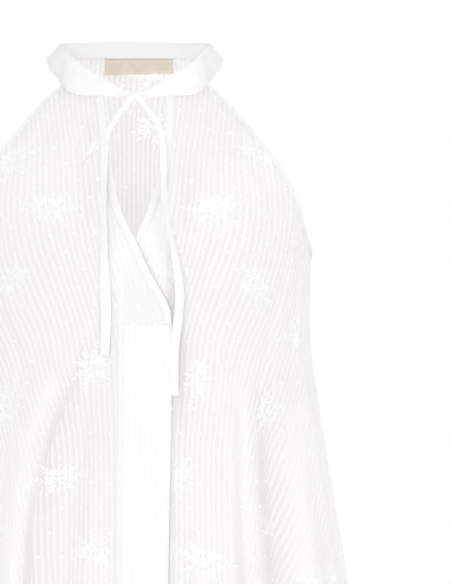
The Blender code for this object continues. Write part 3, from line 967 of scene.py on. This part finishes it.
def dome(radius, height):
    """Offsets (across, down, out) and faces of a small low dome."""
    rings = [(radius, 0.0), (radius * 0.86, height * 0.55), (radius * 0.5, height * 0.9)]
    turn = np.linspace(0, 2 * math.pi, 9)[:-1]
    points = [np.stack([r * np.cos(turn), r * np.sin(turn), np.full(8, h)], -1) for r, h in rings]
    points = np.concatenate(points + [np.array([[0.0, 0.0, height]])])
    faces = []
    for r in range(2):
        for c in range(8):
            d = (c + 1) % 8
            low = r * 8
            faces += [(low + c, low + d, low + 8 + d), (low + c, low + 8 + d, low + 8 + c)]
    faces += [(16 + c, 16 + (c + 1) % 8, 24) for c in range(8)]
    return points, np.array(faces)


def degrees_per_mm(angle, z):
    step = 0.25
    span = body_point(angle + step, z) - body_point(angle - step, z)
    return 2 * step / np.linalg.norm(span, axis=-1)


def panel_span(panel, z):
    """Angles between which a panel carries embroidery at a height."""
    if panel == "back":
        half = read_table(ARMHOLE, 2, z)
        return 180.0 - half, 180.0 + half
    if panel == "front_right":
        return -read_table(ARMHOLE, 1, z), angle_at(read_table(OPENING, 1, z), z)
    return angle_at(read_table(OPENING, 3, z), z), read_table(ARMHOLE, 1, z)


def inside_panel(panel, angle, z, margin):
    """Which places lie on a panel, at least a margin in from all its edges."""
    low, high = panel_span(panel, z)
    room = margin * degrees_per_mm(angle, z)
    level = (z < seam_z(angle) - margin) & (z > hem_z(angle) + margin)
    clear = (angle > low + room) & (angle < high - room) & level
    if panel == "front_right":
        over = (z < PLACKET_TOP_Z) & (angle > angle_at(read_table(OPENING, 2, z), z) - room)
        clear &= ~over
    return clear


def build_dots(panel, material, inside=False):
    """Woven dots, staggered along the stripes, on the cloth's outer or inner face."""
    centres = []
    low, high = (90.2, 269.8) if panel == "back" else (-89.8, 89.8)
    scan = np.linspace(low, high, 721)
    rows = [-8.0]
    while rows[-1] > HEM_BACK_Z:
        rows.append(rows[-1] - mix(DOT_ROW_HIGH, DOT_ROW_LOW, ease(-rows[-1], 230.0, 310.0)))
    for n, z in enumerate(rows):
        across = grain(panel, scan, np.full(scan.shape, z))[:, 0]
        across = np.maximum.accumulate(across)
        first = math.ceil(across[0] / DOT_SPACING) - 1
        marks = (np.arange(first, first + 60) + 0.5 * (n % 2)) * DOT_SPACING
        marks = marks[(marks > across[0]) & (marks < across[-1])]
        angle = np.interp(marks, across, scan)
        outer = np.maximum(np.abs(body_point(angle, z)[:, 0]) - 30.0, 0.0)
        level = z - 0.0022 * outer ** 2 * (1 - ease(-z, 120.0, 210.0)) * (panel != "back")
        keep = inside_panel(panel, angle, level, 6.0)
        if panel != "back" and z < -300.0:
            line = read_table(STRIPE_FOLD, 1 if panel == "front_right" else 2, level)
            keep &= np.abs(np.abs(body_point(angle, level)[:, 0]) - line) > 5.0
        centres += list(zip(angle[keep], level[keep]))
    centres = np.array(centres)
    offsets, faces = dome(DOT_RADIUS, DOT_HEIGHT)
    per_mm = degrees_per_mm(centres[:, 0], centres[:, 1])
    wobble = 1.0 + 0.12 * np.sin(np.arange(len(centres)) * 2.399)
    angle = centres[:, :1] + offsets[None, :, 0] * (per_mm * wobble)[:, None]
    z = centres[:, 1:] + offsets[None, :, 1] * wobble[:, None]
    out = np.broadcast_to(offsets[None, :, 2] - 0.05, angle.shape)
    out = -SHELL - out if inside else out
    points = place(angle, z, out, panel == "front_left").reshape(-1, 3)
    faces = repeated(faces, len(centres), len(offsets))
    faces = faces[:, ::-1] if inside else faces
    return joined("dots_" + panel + "_inside" * inside, points, faces, material)


def daisy(x, y, inner, outer, count, breadth):
    """Petals round a centre, as strokes of a sprig."""
    strokes = []
    for n in range(count):
        way = 2 * math.pi * n / count
        reach = outer * (1 + 0.15 * math.sin(n * 2.7))
        strokes.append((x + inner * math.cos(way), y + inner * math.sin(way), way,
                        reach - inner, breadth))
    return strokes


def twig(x, y, way, bend, length, leaves, leaf):
    """A curved stem with leaves on alternate sides and one at its tip."""
    strokes = []
    way, bend = math.radians(way), math.radians(bend)
    pieces = leaves + 2
    piece = length / pieces
    for n in range(pieces):
        strokes.append((x, y, way, piece * 1.1, 0.8))
        x, y = x + piece * math.cos(way), y + piece * math.sin(way)
        way += bend / pieces
        if n < pieces - 1:
            size = 0.82 * leaf * (1.0 - 0.3 * n / pieces)
            strokes.append((x, y, way + 0.55 + 0.2 * (n % 2), size, 1.6))
            strokes.append((x, y, way - 0.7 + 0.2 * (n % 2), size * 0.9, 1.6))
    strokes.append((x, y, way, leaf * 0.8, 1.7))
    return strokes


def tuft(x, y, wide, tall, count, leaf):
    """Small leaves spread evenly over an oval, pointing outwards."""
    strokes = []
    for n in range(count):
        reach, way = math.sqrt((n + 0.5) / count), n * 2.4
        px, py = wide * reach * math.cos(way), tall * reach * math.sin(way)
        aim = math.atan2(py, px) + 0.5 * math.sin(n * 1.7)
        strokes.append((x + px, y + py, aim, leaf * (0.85 + 0.25 * math.sin(n * 2.3)), 1.5))
    return strokes


# Twigs of each sprig, its flowers, and the small leaves that fill it
SPRIG_TWIGS = [
    [
        # x, y, direction, bend, length, leaves, leaf
        (-2, -3, 176, -22, 24, 3, 7), (-2, -1, 146, -10, 15, 2, 7.4),
        (-0.5, 0, 112, 12, 9, 1, 7.4), (1, 0, 74, -12, 9, 1, 7.4),
        (2.5, -1, 38, 12, 16, 2, 7.4), (3, -3, 6, 20, 23, 3, 7),
        (-3, -5, 208, 20, 11, 1, 6.6), (3.5, -5, -30, -15, 11, 1, 6.6),
        (-1, -5.5, 245, 10, 6, 0, 7), (1, -5.5, -72, 10, 5, 0, 7),
    ],
    [
        (-1, 5, 192, 22, 20, 3, 6.8), (-0.5, 4, 226, -15, 13, 1, 7.6),
        (1, 3, 258, 10, 12, 1, 7.6), (3, 4, -60, 15, 13, 1, 7.6),
        (4, 5, -30, -10, 15, 2, 7.2), (4, 6, 2, 14, 26, 4, 6.2),
        (-2, 7, 152, 16, 11, 1, 6.8), (3, 8, 46, -16, 10, 1, 6.8),
        (0.5, 8, 98, 10, 6, 0, 7),
    ],
    [
        (0, 0, 170, 15, 12, 1, 6.2), (0, 0, 118, -10, 8, 0, 6.4),
        (0, 0, 62, 10, 8, 0, 6.4), (0, 0, 12, -15, 12, 1, 6.2),
        (0, 0, -60, 20, 8, 0, 6),
    ],
]
SPRIG_FLOWERS = [
    # x, y, inner, outer, petals, breadth
    [(0.5, -2.5, 1, 4.4, 8, 1.7), (-11.5, 6, 0.8, 3.4, 6, 1.6)],
    [(0.5, 6.5, 1, 4.4, 8, 1.7), (12, 0.5, 0.8, 3.4, 6, 1.6)],
    [(0, 0.5, 0.8, 3.6, 7, 1.6)],
]
SPRIG_TUFTS = [
    # x, y, half width, half height, leaves, leaf
    [(0, 0, 16, 5.5, 13, 4.6)],
    [(1.5, 4, 15, 6, 13, 4.6)],
    [(0, 1, 8, 5, 6, 4)],
]


def sprig_strokes(kind):
    """Strokes (x, y, direction, length, breadth) of one embroidered sprig, in millimetres."""
    strokes = []
    for row in SPRIG_TWIGS[kind]:
        strokes += twig(*row)
    for row in SPRIG_FLOWERS[kind]:
        strokes += daisy(*row)
    for row in SPRIG_TUFTS[kind]:
        strokes += tuft(*row)
    return strokes


SPRIGS = {
    # angle, z, kind, turn in degrees, size (a minus size mirrors it)
    "front_right": [
        (-38.5, -98.1, 0, 10, 0.9), (-26.5, -141.6, 0, -6, 1), (-41.4, -206.4, 1, 40, -0.95),
        (-12.8, -282.1, 1, 62, 1), (-21.7, -374.9, 0, 8, -0.95), (-12.2, -439.8, 1, -12, 1),
        (-11.6, -90, 2, 40, 0.9), (-42.4, -313.2, 0, 70, 1), (-66, -262, 1, 20, 1),
        (-62, -372, 1, -20, 1), (-43, -430, 0, 80, 1), (-80, -318, 0, 40, -1),
        (-60, -500, 0, 10, 1), (-30, -510, 1, -30, 1), (-79, -440, 0, -70, -1),
        (-80, -212, 1, 10, 0.9), (-76, -560, 1, 30, 1), (-46, -556, 0, -10, 1),
        (-62, -192, 2, 60, 0.9),
    ],
    "front_left": [
        (24.2, -141.6, 0, 6, -1), (38.8, -95.4, 1, -30, 0.9), (42.2, -209, 0, -48, 0.95),
        (7.8, -196.2, 1, -20, 0.9), (21, -289.1, 1, 82, -0.9), (44.3, -317.6, 0, 55, 0.9),
        (13.2, -374.3, 0, 80, 0.85), (40.7, -421.3, 2, 20, 1), (18.8, -444.5, 0, -20, 1),
        (67, -255, 1, 20, -1), (72, -352, 0, -40, 1), (60, -470, 1, 10, -1),
        (36, -512, 0, 40, 1), (80, -440, 1, -60, 1), (60, -556, 0, 0, -1),
        (13, -524, 1, 20, 1), (79, -536, 0, 70, 1), (80, -212, 0, -10, 0.9),
    ],
    "back": [
        (171, -17, 2, 0, 1.2), (171.6, -68, 1, 20, 1.12), (158, -92, 1, 60, 1),
        (197, -80, 0, -40, -1), (146, -52, 0, 10, 0.9), (212, -48, 1, 30, 0.9),
        (136, -128, 0, -20, 1), (222, -132, 1, 0, 1), (184, -180, 1, -30, 1),
        (160, -178, 0, 20, -1), (202, -196, 0, 70, 1), (124, -196, 1, 10, 1),
        (236, -206, 0, -10, 1), (142, -240, 1, -60, 1), (176, -236, 0, 0, 1),
        (218, -262, 1, 30, -1), (106, -258, 0, 80, 1), (254, -268, 1, -20, 1),
        (158, -300, 1, 10, 1), (194, -308, 0, -50, 1), (126, -318, 0, 30, 1),
        (234, -328, 0, 0, -1), (172, -366, 0, 60, -1), (210, -374, 1, -10, 1),
        (144, -372, 1, 20, 1), (110, -378, 1, -40, 1), (250, -392, 0, 40, 1),
        (190, -430, 1, 0, 1), (160, -436, 0, -20, 1), (228, -440, 1, 60, 1),
        (128, -442, 0, 10, -1), (206, -492, 0, 30, 1), (174, -498, 1, -60, 1),
        (146, -506, 0, 0, 1), (102, -470, 0, -10, 1), (242, -504, 0, -30, -1),
        (118, -528, 1, 50, 1), (262, -470, 1, 10, 1), (222, -552, 1, 20, 1),
        (190, -560, 0, -10, 1), (160, -568, 1, 40, -1), (134, -586, 0, 70, 1),
        (206, -622, 0, 0, 1), (176, -634, 1, -20, 1), (148, -644, 0, 20, 1),
        (234, -598, 1, -50, 1), (252, -560, 0, 10, 1), (104, -560, 1, 0, 1),
    ],
}


def stroke_template():
    """Along, across and height of a small raised leaf, with its faces."""
    along = np.array([0.0, 0.22, 0.55, 0.85, 1.0])
    wide = np.array([0.25, 0.85, 1.0, 0.6, 0.1])
    rise = np.array([0.2, 0.8, 1.0, 0.75, 0.1])
    points = []
    for s, w, h in zip(along, wide, rise):
        points += [(s, -0.5 * w, 0.0), (s, 0.0, h), (s, 0.5 * w, 0.0)]
    faces = []
    for r in range(4):
        for c in range(2):
            a = r * 3 + c
            faces += [(a, a + 3, a + 4), (a, a + 4, a + 1)]
    return np.array(points), np.array(faces)


def build_sprigs(panel, material, inside=False):
    """Embroidered sprigs: each stroke is mapped on to the cloth, so that it bends with it."""
    template, faces = stroke_template()
    angles, levels, heights, uvs, count = [], [], [], [], 0
    for angle, z, kind, turn, size in SPRIGS[panel]:
        strokes = np.array(sprig_strokes(kind))
        mirror, scale, spin = math.copysign(1.0, size), abs(size), math.radians(turn)
        x, y, way, length, breadth = strokes.T
        along, across, rise = template.T
        px = x[:, None] + length[:, None] * along * np.cos(way)[:, None] \
            - breadth[:, None] * across * np.sin(way)[:, None]
        py = y[:, None] + length[:, None] * along * np.sin(way)[:, None] \
            + breadth[:, None] * across * np.cos(way)[:, None]
        px, py = px * scale * mirror, py * scale
        px, py = px * math.cos(spin) - py * math.sin(spin), px * math.sin(spin) + py * math.cos(spin)
        per_mm = float(degrees_per_mm(np.array(angle), np.array(z)))
        a, b = angle + px * per_mm, z + py
        keep = inside_panel(panel, a, b, 1.5).all(axis=1)
        height = (0.14 + 0.22 * np.clip(breadth / 1.6, 0, 1))[:, None] * rise
        uv = np.stack(np.broadcast_arrays(length[:, None] * along, breadth[:, None] * across), -1)
        angles.append(a[keep])
        levels.append(b[keep])
        heights.append(height[keep])
        uvs.append(uv[keep])
        count += int(keep.sum())
    angle, z, height = (np.concatenate(part) for part in (angles, levels, heights))
    out = height + SPRIG_LIFT - 0.1
    out = -SHELL - out if inside else out
    points = place(angle, z, out, panel == "front_left").reshape(-1, 3)
    all_faces = repeated(faces, count, len(template))
    first = points[all_faces[:, 0]]
    face_normal = np.cross(points[all_faces[:, 1]] - first, points[all_faces[:, 2]] - first)
    flat_angle, flat_z = angle.reshape(-1)[all_faces[:, 0]], z.reshape(-1)[all_faces[:, 0]]
    inward = ((face_normal * body_normal(flat_angle, flat_z)).sum(-1) < 0) != inside
    all_faces[inward] = all_faces[inward][:, ::-1]
    return joined("sprigs_" + panel + "_inside" * inside, points, all_faces, material,
                  np.concatenate(uvs).reshape(-1, 2))


def stitch_marks(points, normals):
    """Middles, directions and normals of stitches spaced evenly along a line."""
    length = np.concatenate([[0.0], np.cumsum(np.linalg.norm(np.diff(points, axis=0), axis=-1))])
    marks = np.arange(STITCH_SPACING / 2, length[-1], STITCH_SPACING)

    def read(values, shift=0.0):
        return np.stack([np.interp(marks + shift, length, values[:, n]) for n in range(3)], -1)

    return read(points), unit(read(points, 0.4) - read(points, -0.4)), unit(read(normals))


def build_stitches(name, lines, material):
    """Rows of small raised stitches along lines of (points, normals)."""
    shape, faces = [(-0.5, 0, 0)], []
    for s in (-0.28, 0.28):
        shape += [(s, 0.5, 0.0), (s, 0.0, 0.5), (s, -0.5, 0.0), (s, 0.0, -0.5)]
    shape = np.array(shape + [(0.5, 0, 0)])
    for c in range(4):
        d = (c + 1) % 4
        faces += [(0, 1 + c, 1 + d), (1 + c, 5 + c, 5 + d), (1 + c, 5 + d, 1 + d), (5 + c, 9, 5 + d)]
    faces = np.array(faces)
    middles, alongs, normals = (np.concatenate(part) for part in
                                zip(*(stitch_marks(p, n) for p, n in lines)))
    sides = np.cross(normals, alongs)
    points = (middles[:, None] + alongs[:, None] * (shape[:, :1] * STITCH_LENGTH)
              + sides[:, None] * (shape[:, 1:2] * STITCH_BREADTH)
              + normals[:, None] * (shape[:, 2:] * STITCH_BREADTH))
    all_faces = repeated(faces, len(middles), len(shape))
    return joined(name, points.reshape(-1, 3), all_faces, material)


def stitch_line(angle, z, offset, out, tucked=False):
    """A line beside a path on the cloth, for stitches, with the cloth's normals."""
    turns, drops = beside(angle, z, np.array([offset]))
    turns, drops = turns[:, 0], drops[:, 0]
    return place(turns, drops, out, tucked), body_normal(turns, drops)


# Materials

class Nodes:
    """Builds one procedural material."""

    def __init__(self, name, roughness, sheen=0.0):
        self.material = bpy.data.materials.new(name)
        self.material.use_nodes = True
        self.tree = self.material.node_tree
        self.shader = self.tree.nodes["Principled BSDF"]
        self.output = self.tree.nodes["Material Output"]
        self.shader.inputs["Roughness"].default_value = roughness
        self.shader.inputs["Sheen Weight"].default_value = sheen
        self.shader.inputs["Sheen Roughness"].default_value = 0.5
        self.shader.inputs["Specular IOR Level"].default_value = 0.25
        uv = self.node("ShaderNodeUVMap")
        uv.uv_map = "grain"
        parts = self.node("ShaderNodeSeparateXYZ", Vector=uv.outputs["UV"])
        self.u, self.v = parts.outputs["X"], parts.outputs["Y"]

    def node(self, kind, settings=None, **inputs):
        made = self.tree.nodes.new(kind)
        for key, value in (settings or {}).items():
            setattr(made, key, value)
        for key, value in inputs.items():
            target = made.inputs[int(key[1:])] if key[0] == "_" else next(
                i for i in made.inputs if i.name == key and i.enabled)
            if isinstance(value, bpy.types.NodeSocket):
                self.tree.links.new(value, target)
            else:
                target.default_value = value
        return made

    def math(self, operation, a, b=0.0):
        return self.node("ShaderNodeMath", {"operation": operation}, _0=a, _1=b).outputs[0]

    def times(self, value, factor):
        return self.math("MULTIPLY", value, factor)

    def total(self, first, *others):
        for value in others:
            first = self.math("ADD", first, value)
        return first

    def noise(self, scale, detail=2.0):
        made = self.node("ShaderNodeTexNoise", None, Scale=scale, Detail=detail,
                         Vector=self.node("ShaderNodeTexCoord").outputs["Object"])
        return made.outputs["Fac"]

    def ranged(self, value, low, high, to_low, to_high, smooth=False):
        kind = {"interpolation_type": "SMOOTHSTEP" if smooth else "LINEAR"}
        made = self.node("ShaderNodeMapRange", kind, _0=value, _1=low, _2=high,
                         _3=to_low, _4=to_high)
        return made.outputs[0]

    def speckle(self, noise, low, high):
        """The middle of a noise, spread between two values."""
        return self.ranged(noise, 0.3, 0.7, low, high)

    def waves(self, value, pitch):
        return self.math("SINE", self.times(value, 2 * math.pi / pitch))

    def ribs(self, value, pitch, height=1.0):
        return self.ranged(self.waves(value, pitch), -1.0, 1.0, 0.0, height)

    def colours(self, factor, low, high):
        made = self.node("ShaderNodeValToRGB", None, Fac=factor)
        made.color_ramp.elements[0].color = (*low, 1.0)
        made.color_ramp.elements[1].color = (*high, 1.0)
        return made.outputs["Color"]

    def by_layers_and_painted_light(self, share_zero_colour, share_one_colour):
        """One colour or the other, by the share kept at the grid's points, which holds painted shade
        and light besides the cloth's two-ply places.
        """
        share = self.node("ShaderNodeAttribute", {"attribute_name": "layers_and_painted_light"}).outputs["Fac"]
        return self.node("ShaderNodeMix", {"data_type": "RGBA"}, Factor=share, A=share_zero_colour,
                         B=share_one_colour).outputs[2]

    def roughness(self, value):
        self.tree.links.new(value, self.shader.inputs["Roughness"])

    def finish(self, colour, height, depth, translucency=0.0):
        self.tree.links.new(colour, self.shader.inputs["Base Color"])
        bump = self.node("ShaderNodeBump", None, Height=height, Strength=BUMP_STRENGTH,
                         Distance=depth * METRES)
        self.tree.links.new(bump.outputs["Normal"], self.shader.inputs["Normal"])
        if translucency:
            through = self.node("ShaderNodeBsdfTranslucent", None, Color=colour)
            both = self.node("ShaderNodeMixShader", None, _0=translucency,
                             _1=self.shader.outputs["BSDF"], _2=through.outputs["BSDF"])
            self.tree.links.new(both.outputs["Shader"], self.output.inputs["Surface"])
        return self.material


def weave(nodes, pitch):
    """Fine over-and-under threads, 0 to 1."""
    crossing = nodes.times(nodes.waves(nodes.u, pitch), nodes.waves(nodes.v, pitch * 1.15))
    return nodes.ranged(crossing, -1.0, 1.0, 0.0, 1.0)


def voile_material(name, translucency):
    nodes = Nodes(name, 0.78, 0.2)
    drift = nodes.speckle(nodes.noise(28.0, 3.0), -0.07, 0.07)
    phase = nodes.total(nodes.math("DIVIDE", nodes.u, STRIPE_PITCH), drift)
    rib = nodes.ranged(nodes.waves(phase, 1.0), -0.5, 0.5, 0.0, 1.0, smooth=True)
    threads = weave(nodes, 0.46)
    crinkle = nodes.noise(900.0, 2.0)
    tone = nodes.total(nodes.times(rib, 0.78), nodes.times(threads, 0.10),
                       nodes.speckle(crinkle, -0.06, 0.12),
                       nodes.ranged(nodes.noise(9.0, 2.0), 0.35, 0.65, -0.08, 0.08))
    # Share 0 colours also paint shade, share 1 colours also paint light
    colour = nodes.by_layers_and_painted_light(nodes.colours(tone, VOILE_SHEER, VOILE_RIB),
                             nodes.colours(tone, VOILE_TWO_PLY_AND_PAINTED_LIGHT, VOILE_TWO_PLY_RIB_AND_PAINTED_LIGHT))
    nodes.roughness(nodes.ranged(rib, 0.0, 1.0, 0.9, 0.68))
    height = nodes.total(nodes.times(rib, 0.8), nodes.times(threads, 0.05),
                         nodes.times(crinkle, 0.35))
    return nodes.finish(colour, height, 0.3, translucency)


def plain_material(name, low, high, roughness, sheen, depth=0.25, corner_shade=None, rib=0.0):
    """Batiste. The placket has faint stripes, and the collar painted shade where it turns to the
    sides.
    """
    nodes = Nodes(name, roughness, sheen)
    threads = weave(nodes, 0.5)
    slubs = nodes.noise(420.0, 3.0)
    tone = nodes.total(nodes.times(threads, 0.25), nodes.speckle(slubs, 0.1, 0.45),
                       nodes.speckle(nodes.noise(26.0, 3.0), 0.0, 0.3))
    if rib:
        tone = nodes.total(tone, nodes.ribs(nodes.u, STRIPE_PITCH, rib))
    colour = nodes.colours(tone, low, high)
    # Painted shade on the collar's sides
    if corner_shade:
        colour = nodes.by_layers_and_painted_light(colour, nodes.colours(tone, *corner_shade))
    nodes.roughness(nodes.speckle(slubs, roughness - 0.06, roughness + 0.06))
    height = nodes.total(nodes.times(threads, 0.06), nodes.times(slubs, 0.5),
                         nodes.times(nodes.noise(150.0, 2.0), 1.2))
    return nodes.finish(colour, height, depth, 0.12)


def thread_material(name, low, high, pitch, roughness):
    nodes = Nodes(name, roughness, 0.35)
    strands = nodes.ribs(nodes.u, pitch)
    tone = nodes.total(nodes.times(strands, 0.6), nodes.speckle(nodes.noise(700.0), 0.0, 0.4))
    nodes.roughness(nodes.ranged(strands, 0.0, 1.0, roughness + 0.1, roughness - 0.06))
    return nodes.finish(nodes.colours(tone, low, high), strands, 0.06)


def label_material():
    """Woven ribs with a line along both long edges."""
    nodes = Nodes("label_weave", 0.5, 0.3)
    ribs, picks = nodes.ribs(nodes.v, 0.8), nodes.ribs(nodes.u, 0.55)
    from_middle = nodes.math("ABSOLUTE", nodes.math("SUBTRACT", nodes.v, LABEL_HEIGHT / 2))
    line = nodes.math("ABSOLUTE", nodes.math("SUBTRACT", from_middle, LABEL_HEIGHT / 2 - 1.3))
    tone = nodes.total(nodes.times(ribs, 0.4), nodes.times(picks, 0.2),
                       nodes.speckle(nodes.noise(160.0, 3.0), 0.0, 0.4),
                       nodes.ranged(line, 0.25, 0.55, 0.7, 0.0, smooth=True))
    nodes.roughness(nodes.ranged(ribs, 0.0, 1.0, 0.58, 0.42))
    return nodes.finish(nodes.colours(tone, LABEL_LOW, LABEL_HIGH), nodes.total(ribs, picks), 0.12)


def floor_material():
    nodes = Nodes("pale_floor", 0.85)
    colour = nodes.colours(nodes.noise(3.0, 4.0), (0.86, 0.86, 0.855), (0.9, 0.9, 0.895))
    return nodes.finish(colour, nodes.noise(60.0), 0.2)


# Putting it together

def main():
    voile = voile_material("striped_voile", 0.28)
    faced = voile_material("faced_voile", 0.17)
    faced_under = voile_material("faced_voile_under", 0.09)
    binding = plain_material("slit_batiste", BINDING_LOW, BINDING_HIGH, 0.7, 0.2, 0.12)
    plain = plain_material("plain_batiste", PLAIN_LOW, PLAIN_HIGH, 0.7, 0.2, rib=0.3)
    # The collar's batiste, with painted shade on its sides
    collar_cloth = plain_material("collar_batiste", COLLAR_LOW, COLLAR_HIGH, 0.7, 0.2, 0.1,
                                  (CORNER_SHADE_LOW, CORNER_SHADE_HIGH))
    tie_cloth = plain_material("tie_cloth", TIE_LOW, TIE_HIGH, 0.62, 0.25, 0.12)
    embroidery = thread_material("embroidery_thread", EMBROIDERY_LOW, EMBROIDERY_HIGH, 0.55, 0.5)
    # Painted light: a whiter copy of the embroidery thread for the inside sprigs
    inside_thread_painted_light = thread_material("embroidery_thread_inside_painted_light", INSIDE_THREAD_PAINTED_LIGHT_LOW, INSIDE_THREAD_PAINTED_LIGHT_HIGH, 0.55, 0.5)
    dot_thread = thread_material("dot_thread", DOT_LOW, DOT_HIGH, 0.5, 0.6)
    sewing = thread_material("sewing_thread", THREAD_LOW, THREAD_HIGH, 0.5, 0.55)
    label = label_material()

    front_count = SIDE_COLUMNS + EDGE_COLUMNS
    front_right = build_panel("cloth_front_right", right_front_angle, front_count, False,
                              voile, faced)
    front_left = build_panel("cloth_front_left", left_front_angle, front_count, True,
                             voile, faced_under)
    back = build_panel("cloth_back", back_angle, BACK_COLUMNS, False, voile)
    # Painted shade: a darker copy of the batiste for the collar's inner face
    shaded_facing = plain_material("collar_facing_painted_shade", FACING_SHADE_LOW, FACING_SHADE_HIGH, 0.72, 0.15, 0.1)
    collar = build_collar(collar_cloth, shaded_facing)

    slit_top = float(seam_z(angle_at(SLIT_TOP_X, SLIT_TOP_Z)))
    right_path = edge_path(1, slit_top, PLACKET_TOP_Z + 1.0, 130)
    left_path = edge_path(3, slit_top, PLACKET_TOP_Z - SLIT_TUCK, 150)
    slit_right = laid_strip("cloth_slit_band_right", binding, *right_path, -SLIT_BAND_WIDTH)
    slit_left = laid_strip("cloth_slit_band_left", binding, *left_path, SLIT_BAND_WIDTH, True)

    z = np.linspace(PLACKET_TOP_Z, HEM_FRONT_Z - 4.0, 190)[:, None]
    share = np.linspace(0.0, 1.0, 41)
    angle = mix(angle_at(read_table(OPENING, 2, z), z),
                angle_at(read_table(OPENING, 1, z), z), share)
    z = np.minimum(z, PLACKET_TOP_Z)
    z = np.maximum(z, hem_z(angle))
    rise = np.minimum(0.12 + 0.88 * ease(share, 0.0, 0.14),
                      0.55 + 0.45 * ease(1 - share, 0.0, 0.03))
    out = PLACKET_LIFT * rise * (0.3 + 0.7 * ease(PLACKET_TOP_Z - z, 0.0, 3.0))
    placket_points = place(angle, z, out)
    placket = settle(grid_object("cloth_placket", placket_points, plain, PLACKET_SHELL,
                                 np.stack(np.broadcast_arrays(share * 45, -z), -1)),
                     "plain_batiste", "placket")

    edging = plain_material("edge_batiste", EDGE_LOW, EDGE_HIGH, 0.7, 0.2)
    for side, name in ((-1, "right"), (1, "left")):
        laid_strip("cloth_armhole_band_" + name, edging, *armhole_path(side),
                                 -side * ARMHOLE_BAND_WIDTH)

    tail_right = build_tail("cloth_tie_tail_right", RIGHT_TAIL, tie_cloth, 1.0)
    tail_left = build_tail("cloth_tie_tail_left", LEFT_TAIL, tie_cloth, -1.0)
    knot = build_knot(tie_cloth)
    tag = build_label(label)

    raised = {}
    for panel in ("front_right", "front_left", "back"):
        raised[panel] = [build_dots(panel, dot_thread), build_sprigs(panel, embroidery)]
    raised["back"] += [build_dots("back", dot_thread, True), build_sprigs("back", inside_thread_painted_light, True)]

    around = np.linspace(8.0, 352.0, 700)
    lines = []
    for t in (0.07, 0.93):
        points = collar_points(around, np.full(around.shape, t), 0.1)
        lines.append((points, body_normal(around, seam_z(around))))
    for side in (-1, 1):
        offset = -side * (ARMHOLE_BAND_WIDTH - STITCH_INSET)
        lines.append(stitch_line(*armhole_path(side), offset, 0.7))
    lines.append(stitch_line(*right_path, -(SLIT_BAND_WIDTH - STITCH_INSET), 0.7))
    lines.append(stitch_line(*left_path, SLIT_BAND_WIDTH - STITCH_INSET, 0.7, True))
    for column in (2, 38):
        lines.append((placket_points[:, column], body_normal(angle[:, column], z[:, column])))
    for x in (LABEL_LEFT + 1.4, LABEL_RIGHT - 1.4):
        level = LABEL_TOP - np.linspace(0.6, LABEL_HEIGHT - 0.6, 30)
        tag_angle = 180.0 - np.degrees(np.arcsin(x / read_table(RINGS, 3, level)))
        lines.append((place(tag_angle, level, -1.85), -body_normal(tag_angle, level)))
    hem_angle = np.linspace(-180.0, 180.0, 1400)
    level = hem_z(hem_angle) + HEM_STITCH_UP
    lines.append((place(hem_angle, level, 0.5), body_normal(hem_angle, level)))
    stitches = build_stitches("topstitching", lines, sewing)

    build_stage()


def build_stage():
    bpy.ops.mesh.primitive_circle_add(vertices=96, radius=7.0, fill_type="NGON",
                                      location=(0, 0, FLOOR_Z))
    floor = bpy.context.active_object
    floor.name = "pale_floor"
    floor.data.materials.append(floor_material())

    world = bpy.data.worlds.new("studio")
    bpy.context.scene.world = world
    world.use_nodes = True
    tree = world.node_tree
    tree.nodes.clear()
    out = tree.nodes.new("ShaderNodeOutputWorld")
    path = tree.nodes.new("ShaderNodeLightPath")
    seen = tree.nodes.new("ShaderNodeBackground")
    lit = tree.nodes.new("ShaderNodeBackground")
    both = tree.nodes.new("ShaderNodeMixShader")
    seen.inputs["Color"].default_value = (1.0, 1.0, 1.0, 1.0)
    lit.inputs["Color"].default_value = (*WORLD_TINT, 1.0)
    lit.inputs["Strength"].default_value = WORLD_LIGHT
    tree.links.new(path.outputs["Is Camera Ray"], both.inputs[0])
    tree.links.new(lit.outputs["Background"], both.inputs[1])
    tree.links.new(seen.outputs["Background"], both.inputs[2])
    tree.links.new(both.outputs["Shader"], out.inputs["Surface"])

    for name, place_at, size, power in LAMPS:
        data = bpy.data.lights.new(name, "AREA")
        data.shape, data.size, data.energy = "DISK", size, power
        lamp = linked(name, data)
        lamp.location = place_at
        target = Vector((0.0, 0.0, -0.25))
        lamp.rotation_euler = (target - lamp.location).to_track_quat("-Z", "Y").to_euler()

    for number, (place_at, power) in enumerate(INNER_LAMPS):
        data = bpy.data.lights.new("inner_%d" % number, "POINT")
        data.energy, data.shadow_soft_size = power, INNER_LAMP_RADIUS
        lamp = linked("inner_%d" % number, data)
        lamp.location = place_at
        lamp.visible_camera = False

    lens = bpy.data.cameras.new("camera")
    lens.sensor_width, lens.sensor_fit = 36.0, "AUTO"
    lens.lens = 36.0 * CAMERA_DISTANCE / FIELD_HEIGHT
    lens.shift_x = CAMERA_SHIFT
    lens.dof.use_dof = False
    camera = linked("camera", lens)
    camera.location = (0.0, -CAMERA_DISTANCE, CAMERA_Z)
    camera.rotation_euler = (math.pi / 2, 0.0, 0.0)
    bpy.context.scene.camera = camera
    bpy.context.scene.view_settings.view_transform = "Standard"


main()
